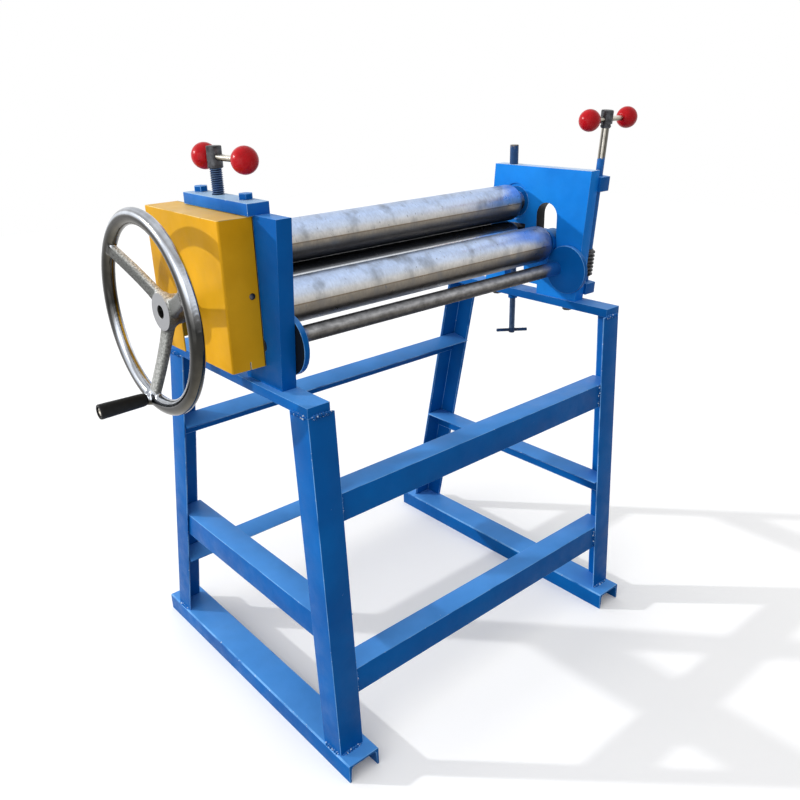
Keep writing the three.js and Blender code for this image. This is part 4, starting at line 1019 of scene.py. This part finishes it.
# %% Grip on its spindle
GRIP_RADIUS = 15.2 * MM
GRIP_RECESS = 7 * MM
SPINDLE_RADIUS = 6 * MM
grip_low, grip_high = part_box("grip")
spindle_low, spindle_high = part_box("grip_spindle")


def grip_profile():
    """Closed profile of the grip: a slim neck at the boss, a long swell and a sunk end."""
    near, far = grip_high.x, grip_low.x
    points = [(near, SPINDLE_BORE), (near, GRIP_RADIUS - 3.2 * MM)]
    for i in range(1, 20):
        share = i / 20
        thinner = 2.2 * MM * (1 - share) ** 2.2 + 0.5 * MM * math.sin(math.pi * share) ** 2
        points.append((near - 1 * MM - (near - far - 4 * MM) * share, GRIP_RADIUS - thinner))
    points += corner_arc(far + 2.5 * MM, GRIP_RADIUS - 2.5 * MM, 2.5 * MM, 90, 180)
    return points + [
        (far, 10.9 * MM), (far + 0.4 * MM, 10.5 * MM), (far + GRIP_RECESS, 10.3 * MM),
        (far + GRIP_RECESS, SPINDLE_BORE), (near, SPINDLE_BORE)]


dress("grip", "moulded", turned_form(grip_profile(), "x", GRIP_AXIS), BLACK_NYLON)
spindle_profile = measured_profile(
    spindle_low.x, (1.6, 0), (1.6, 3.2), (0, 4.4), (0, 7.6), (0.9, 8.5), (4.6, 8.5), (4.6, 6))
spindle_profile += [(spindle_high.x, SPINDLE_RADIUS), (spindle_high.x, 0)]
dress(
    "grip_spindle", "turned", turned_form(spindle_profile, "x", GRIP_AXIS, steps=48),
    BRIGHT_STEEL)
print("grip length:", round((grip_high.x - grip_low.x) / MM), "mm")

# %% [markdown]
# The two T-handles are alike: a bright bar slides through a dark steel hub and carries a ball
# knob at each end. A knob is turned smooth and has a flat mouth where the bar enters.

# %% Ball knobs and bars
KNOB_RADIUS = 25 * MM
KNOB_MOUTH = 9 * MM
KNOB_DEPTH = 18 * MM
BAR_RADIUS = 6 * MM
BAR_BORE = BAR_RADIUS + 0.25 * MM


def knob_profile(mouth, direction):
    """Profile along the bar's axis, from the bottom of the blind bore out to the far side."""
    start = math.asin(KNOB_MOUTH / KNOB_RADIUS)
    points = [(KNOB_DEPTH, 0), (KNOB_DEPTH, BAR_BORE), (0, BAR_BORE), (0, KNOB_MOUTH - 1 * MM)]
    points += corner_arc(
        KNOB_RADIUS * math.cos(start), 0, KNOB_RADIUS, 180 - math.degrees(start), 0, steps=32)
    return [(mouth + direction * place, radius) for place, radius in points]


def dress_bar_and_knobs(prefix, axis, ends):
    index = "xy".index(axis)
    bar_low, bar_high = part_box(prefix + "_bar")
    centre = (bar_low + bar_high) / 2
    rod = rod_profile(bar_low[index], bar_high[index], BAR_RADIUS)
    dress(prefix + "_bar", "drawn", turned_form(rod, axis, centre, steps=48), BRIGHT_STEEL)
    for end, direction in zip(ends, (-1, 1)):
        knob_low, knob_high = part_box(f"{prefix}_knob_{end}")
        mouth = knob_high[index] if direction < 0 else knob_low[index]
        knob = turned_form(knob_profile(mouth, direction), axis, centre)
        dress(f"{prefix}_knob_{end}", "moulded", knob, RED_PHENOLIC)
    return centre


PRESSURE_BAR = dress_bar_and_knobs("pressure_handle", "y", ("front", "rear"))
WORM_BAR = dress_bar_and_knobs("worm_handle", "x", ("left", "right"))
print("bars at heights", round(PRESSURE_BAR.z, 3), "and", round(WORM_BAR.z, 3))

# %% [markdown]
# Threads catch the light in a ladder of fine lines, so the two adjusting screws get real helical
# threads. Three points per turn, root, crest and crest, are wound up the axis, and each turn
# shares its edge with the next one.

# %% Screw threads
THREAD_STEPS = 32
THREAD_CREASE = math.radians(25)
PRESSURE_PITCH = 4 * MM
HUB_SLEEVE = 14.5 * MM


def threaded_form(centre, bottom, top, crest_radius, depth, pitch):
    """A threaded rod about Z. Points past either end are pressed flat onto it."""
    form = bmesh.new()
    section = [(0.0, crest_radius - depth), (0.42, crest_radius), (0.58, crest_radius)]
    layer = form.verts.layers.float.new("edge_and_crest")
    turns = math.ceil((top - bottom) / pitch) + 1
    columns = []
    for i in range(turns * THREAD_STEPS + 1):
        angle = 2 * math.pi * i / THREAD_STEPS
        base = bottom + pitch * (i / THREAD_STEPS - 1)
        column = []
        for offset, radius in section:
            height = min(max(base + offset * pitch, bottom), top)
            column.append(form.verts.new((
                centre.x + radius * math.cos(angle), centre.y + radius * math.sin(angle),
                height)))
            column[-1][layer] = float(radius == crest_radius)
        columns.append(column)
    for i in range(len(columns) - 1):
        first, second = columns[i], columns[i + 1]
        for k in range(2):
            form.faces.new((first[k], second[k], second[k + 1], first[k + 1]))
        if i + 1 + THREAD_STEPS < len(columns):
            above, next_above = columns[i + THREAD_STEPS][0], columns[i + 1 + THREAD_STEPS][0]
            form.faces.new((first[2], second[2], next_above, above))
    bmesh.ops.remove_doubles(form, verts=form.verts, dist=0.0005 * MM)
    open_edges = [edge for edge in form.edges if len(edge.link_faces) == 1]
    bmesh.ops.holes_fill(form, edges=open_edges, sides=0)
    return form


screw_low, screw_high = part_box("pressure_screw")
PRESSURE_AXIS = (screw_low + screw_high) / 2
pressure_screw_form = threaded_form(
    PRESSURE_AXIS, screw_low.z, screw_high.z, 11.9 * MM, 2.2 * MM, PRESSURE_PITCH)
dress("pressure_screw", "threaded", pressure_screw_form, THREAD_STEEL, crease=THREAD_CREASE)
hub_low, hub_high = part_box("pressure_screw_hub")
hub_form = turned_form(
    rod_profile(hub_low.z, hub_high.z, HUB_SLEEVE, 1.2 * MM), "z", PRESSURE_AXIS)
cross_hole = turned_form(
    rod_profile(hub_low.y - 5 * MM, hub_high.y + 5 * MM, BAR_BORE), "y", PRESSURE_BAR)
socket = turned_form(
    rod_profile(hub_low.z - 5 * MM, screw_high.z + 0.3 * MM, 12.2 * MM), "z", PRESSURE_AXIS)
dress(
    "pressure_screw_hub", "turned", cut_form(cut_form(hub_form, cross_hole), socket), OILED_STEEL)
print("thread turns:", round((screw_high.z - screw_low.z) / PRESSURE_PITCH))

# %% [markdown]
# The worm shaft leans with the front edge of the right end plate. It is drawn upright about the
# T-bar and then moved into place, and so is its hub, which has a waist above its rounded foot.

# %% Worm shaft with its hub
SHAFT_RADIUS = 9 * MM
HUB_HALF = 20 * MM
shaft_low, shaft_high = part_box("worm_shaft")
lean = centre_of("worm_block_upper") - centre_of("worm_block_lower")
LEAN_ANGLE = math.atan2(-lean.y, lean.z)
WORM_PLACE = Vector(((shaft_low.x + shaft_high.x) / 2, WORM_BAR.y, WORM_BAR.z))
SHAFT_FOOT = HUB_HALF + 2.5 * MM - (shaft_high.z - shaft_low.z) / math.cos(LEAN_ANGLE)


def moved(form, turn, axis, place):
    """Turns a form about an axis through the origin and moves the origin to a place."""
    bmesh.ops.transform(
        form, verts=form.verts,
        matrix=Matrix.Translation(place) @ Matrix.Rotation(turn, 4, axis))
    return form


shaft_form = turned_form([
    (SHAFT_FOOT, 0), (SHAFT_FOOT, SHAFT_RADIUS - 1 * MM), (SHAFT_FOOT + 1 * MM, SHAFT_RADIUS),
    (2 * MM - HUB_HALF, SHAFT_RADIUS), (2 * MM - HUB_HALF, 0)], "z")
dress("worm_shaft", "turned", moved(shaft_form, LEAN_ANGLE, "X", WORM_PLACE), SHAFT_STEEL)
bar_hole = turned_form(
    rod_profile(-HUB_SLEEVE - 5 * MM, HUB_SLEEVE + 5 * MM, BAR_BORE), "x")
worm_hub = turned_form(measured_profile(
    -HUB_HALF, (0, 0), (0, 11), (5, 13), (6, 11.5), (9, 11.5), (10, 14.5), (38.4, 14.5),
    (40, 12.9), (40, 0)), "z")
add_piece(
    "worm_handle_hub", moved(cut_form(worm_hub, bar_hole), LEAN_ANGLE, "X", WORM_PLACE),
    OILED_STEEL, "worm_shaft")
print("worm shaft leans by", round(math.degrees(LEAN_ANGLE), 2), "degrees")

# %% [markdown]
# The lower screw has a finer thread, a plain foot and a thin bar fixed across it. The lock pin
# stands in the top edge of the right end plate.

# %% Lower screw and lock pin
LOWER_PITCH = 2 * MM
T_BAR_RADIUS = 4.4 * MM
T_BAR_HALF = 42.5 * MM
T_BAR_TURN = math.radians(-38)
LOWER_SCREW_AXIS = centre_of("lower_screw_pad")
lower_low, lower_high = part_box("lower_screw")
lower_form = threaded_form(
    LOWER_SCREW_AXIS, lower_low.z + 14 * MM, lower_high.z, 7.9 * MM, 1.0 * MM, LOWER_PITCH)
turned_form(
    rod_profile(lower_low.z, lower_low.z + 14.2 * MM, 8 * MM), "z", LOWER_SCREW_AXIS, steps=48,
    form=lower_form)
dress("lower_screw", "threaded", lower_form, SPECKLED_THREADS, crease=THREAD_CREASE)
t_bar = turned_form(rod_profile(-T_BAR_HALF, T_BAR_HALF, T_BAR_RADIUS), "x", steps=32)
T_BAR_PLACE = (LOWER_SCREW_AXIS.x, LOWER_SCREW_AXIS.y, lower_low.z + T_BAR_RADIUS * 1.6)
add_piece(
    "lower_screw_t_bar", moved(t_bar, T_BAR_TURN, "Z", T_BAR_PLACE), SPECKLED_THREADS,
    "lower_screw")
pin_profile = rod_profile(pin_low.z, pin_high.z, 11 * MM, 1 * MM)
dress(
    "bearing_lock_pin", "turned", turned_form(pin_profile, "z", centre_of("bearing_lock_pin")),
    PIN_STEEL)
print("lower screw from", round(lower_low.z, 3), "to", round(lower_high.z, 3))

# %% [markdown]
# The gear cover is folded sheet. Where it meets the end plate and in the slit in its lower edge
# lies shade, so a strip along the back is parted off and painted near black as shade, with the
# slit's faces.

# %% Gear cover and its screw
COVER_EDGE = 0.9 * MM
COVER_STRIP = 2.5 * MM
SLIT_MARGIN = 10 * MM
SLIT_HEIGHT = 30 * MM
SLIT_REACH = 4 * MM
SLIT_FACE_AREA = 100 * MM * MM
cover_low, cover_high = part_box("gear_cover")
strip_x = cover_high.x - COVER_STRIP
slit_corners = [
    corner.x for corner in corners_of("gear_cover")
    if cover_low.x + SLIT_MARGIN < corner.x < cover_high.x - SLIT_MARGIN
    and corner.z < cover_low.z + SLIT_HEIGHT]
slit_x = sum(slit_corners) / len(slit_corners)


def in_cover_shade(face):
    x = face.calc_center_median().x
    return x > strip_x or abs(x - slit_x) < SLIT_REACH and face.calc_area() < SLIT_FACE_AREA


cover_form = soften_edges(cleaned_form("gear_cover"), COVER_EDGE, segments=2, angle=50)
bmesh.ops.bisect_plane(
    cover_form, geom=cover_form.verts[:] + cover_form.edges[:] + cover_form.faces[:],
    plane_co=(strip_x, 0, 0), plane_no=(1, 0, 0))
# Painted shade along the back strip and in the slit.
dress("gear_cover", "folded", with_painted_shade(cover_form, in_cover_shade), YELLOW_ENAMEL)
screw_profile = measured_profile(
    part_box("cover_screw")[0].y, (0, 0), (0.15, 1.8), (0.8, 3.9), (1.9, 5.6), (3.1, 6.3),
    (3.1, 4), (16, 4), (16, 0))
dress(
    "cover_screw", "domed", turned_form(screw_profile, "y", centre_of("cover_screw"), steps=48),
    OILED_STEEL)
print("nodes left undressed:", [name for name in nodes if not nodes[name].hide_render])

# %% [markdown]
# The photograph has a low sun from behind the left end, an open sky above it and a white ground.
# The sun's direction was worked out from the shadow of the handwheel's rim on the gear cover. One
# sun lamp with soft edges gives the direction, and a world that is brighter above and to the left
# is the sky. A large weak lamp on the left stands for the pale wall that lightens the shadows
# there. The floor is a plain pale sheet that keeps the shadow. Camera and mirror rays see it and
# the world in white, with a weak glow that stands for the glare of the ground, and other rays see
# a grey floor, so that it throws little light up at the fronts.

# %% Floor and light
FLOOR_SIZE = 14.0
FLOOR_GLOW = 0.07
SUN_STRENGTH = 1.9
SUN_SOFTNESS = math.radians(1.6)
SUN_FROM = Vector((-0.66, 0.67, 0.34))
SKY_MIDDLE = (-0.5, 0.2, 0.84)
SKY_DARKEST, SKY_BRIGHTEST = 0.12, 1.1
FILL_FROM = Vector((-1.6, -0.5, 0.2))
FILL_POWER = 10.0
FILL_SIZE = 1.7
WHITE = (1, 1, 1, 1)


def white_seen(tree):
    """1 for rays from the camera and for rays mirrored or let through, 0 for all others."""
    seen = add_node(tree, "LightPath", output="Is Camera Ray")
    for kind in ("Is Glossy Ray", "Is Transmission Ray"):
        ray = add_node(tree, "LightPath", output=kind)
        seen = add_node(tree, "Math", {0: seen, 1: ray}, operation="MAXIMUM")
    return seen


def pale_floor():
    form = bmesh.new()
    bmesh.ops.create_grid(form, x_segments=2, y_segments=2, size=FLOOR_SIZE / 2)
    material, tree = new_material(
        "pale_floor", Roughness=0.9, Specular_IOR_Level=0.1, Emission_Color=WHITE)
    pale = add_node(tree, "Mix", {
        0: patches(tree, 0.7, detail=2), 6: "FBFBFC", 7: "FFFFFF"}, **COLOUR_MIX)
    floor = object_from(form, "floor", turn_outward=False)
    floor.data.materials.append(finished(
        material,
        Base_Color=add_node(tree, "Mix", {0: white_seen(tree), 6: "94969A", 7: pale}, **COLOUR_MIX),
        Emission_Strength=add_node(
            tree, "Math", {0: white_seen(tree), 1: FLOOR_GLOW}, operation="MULTIPLY")))


def add_lamp(name, kind, comes_from, place=(0, 0, 0), **settings):
    data = bpy.data.lights.new(name, kind)
    for setting, value in settings.items():
        setattr(data, setting, value)
    lamp = bpy.data.objects.new(name, data)
    lamp.location = place
    lamp.rotation_euler = comes_from.to_track_quat("Z", "Y").to_euler()
    scene.collection.objects.link(lamp)


def open_sky():
    world = bpy.data.worlds.new("open_sky")
    world.use_nodes = True
    tree = world.node_tree
    direction = add_node(tree, "TexCoord", output="Generated")
    towards = add_node(
        tree, "VectorMath", {0: direction, 1: SKY_MIDDLE}, "Value", operation="DOT_PRODUCT")
    glow = add_node(tree, "MapRange", {
        "Value": towards, "From Min": -0.6, "To Min": SKY_DARKEST, "To Max": SKY_BRIGHTEST})
    strength = add_node(tree, "Mix", {0: white_seen(tree), 2: glow, 3: 1.0}, data_type="FLOAT")
    background = tree.nodes["Background"]
    background.inputs["Color"].default_value = WHITE
    tree.links.new(strength, background.inputs["Strength"])
    scene.world = world


pale_floor()
add_lamp("sun", "SUN", SUN_FROM, energy=SUN_STRENGTH, angle=SUN_SOFTNESS)
add_lamp(
    "fill", "AREA", FILL_FROM, centre_of("gear_cover") + FILL_FROM, energy=FILL_POWER,
    size=FILL_SIZE)
open_sky()
scene.view_settings.view_transform = "Standard"
print("sun strength", SUN_STRENGTH, "sky from", SKY_DARKEST, "to", SKY_BRIGHTEST)
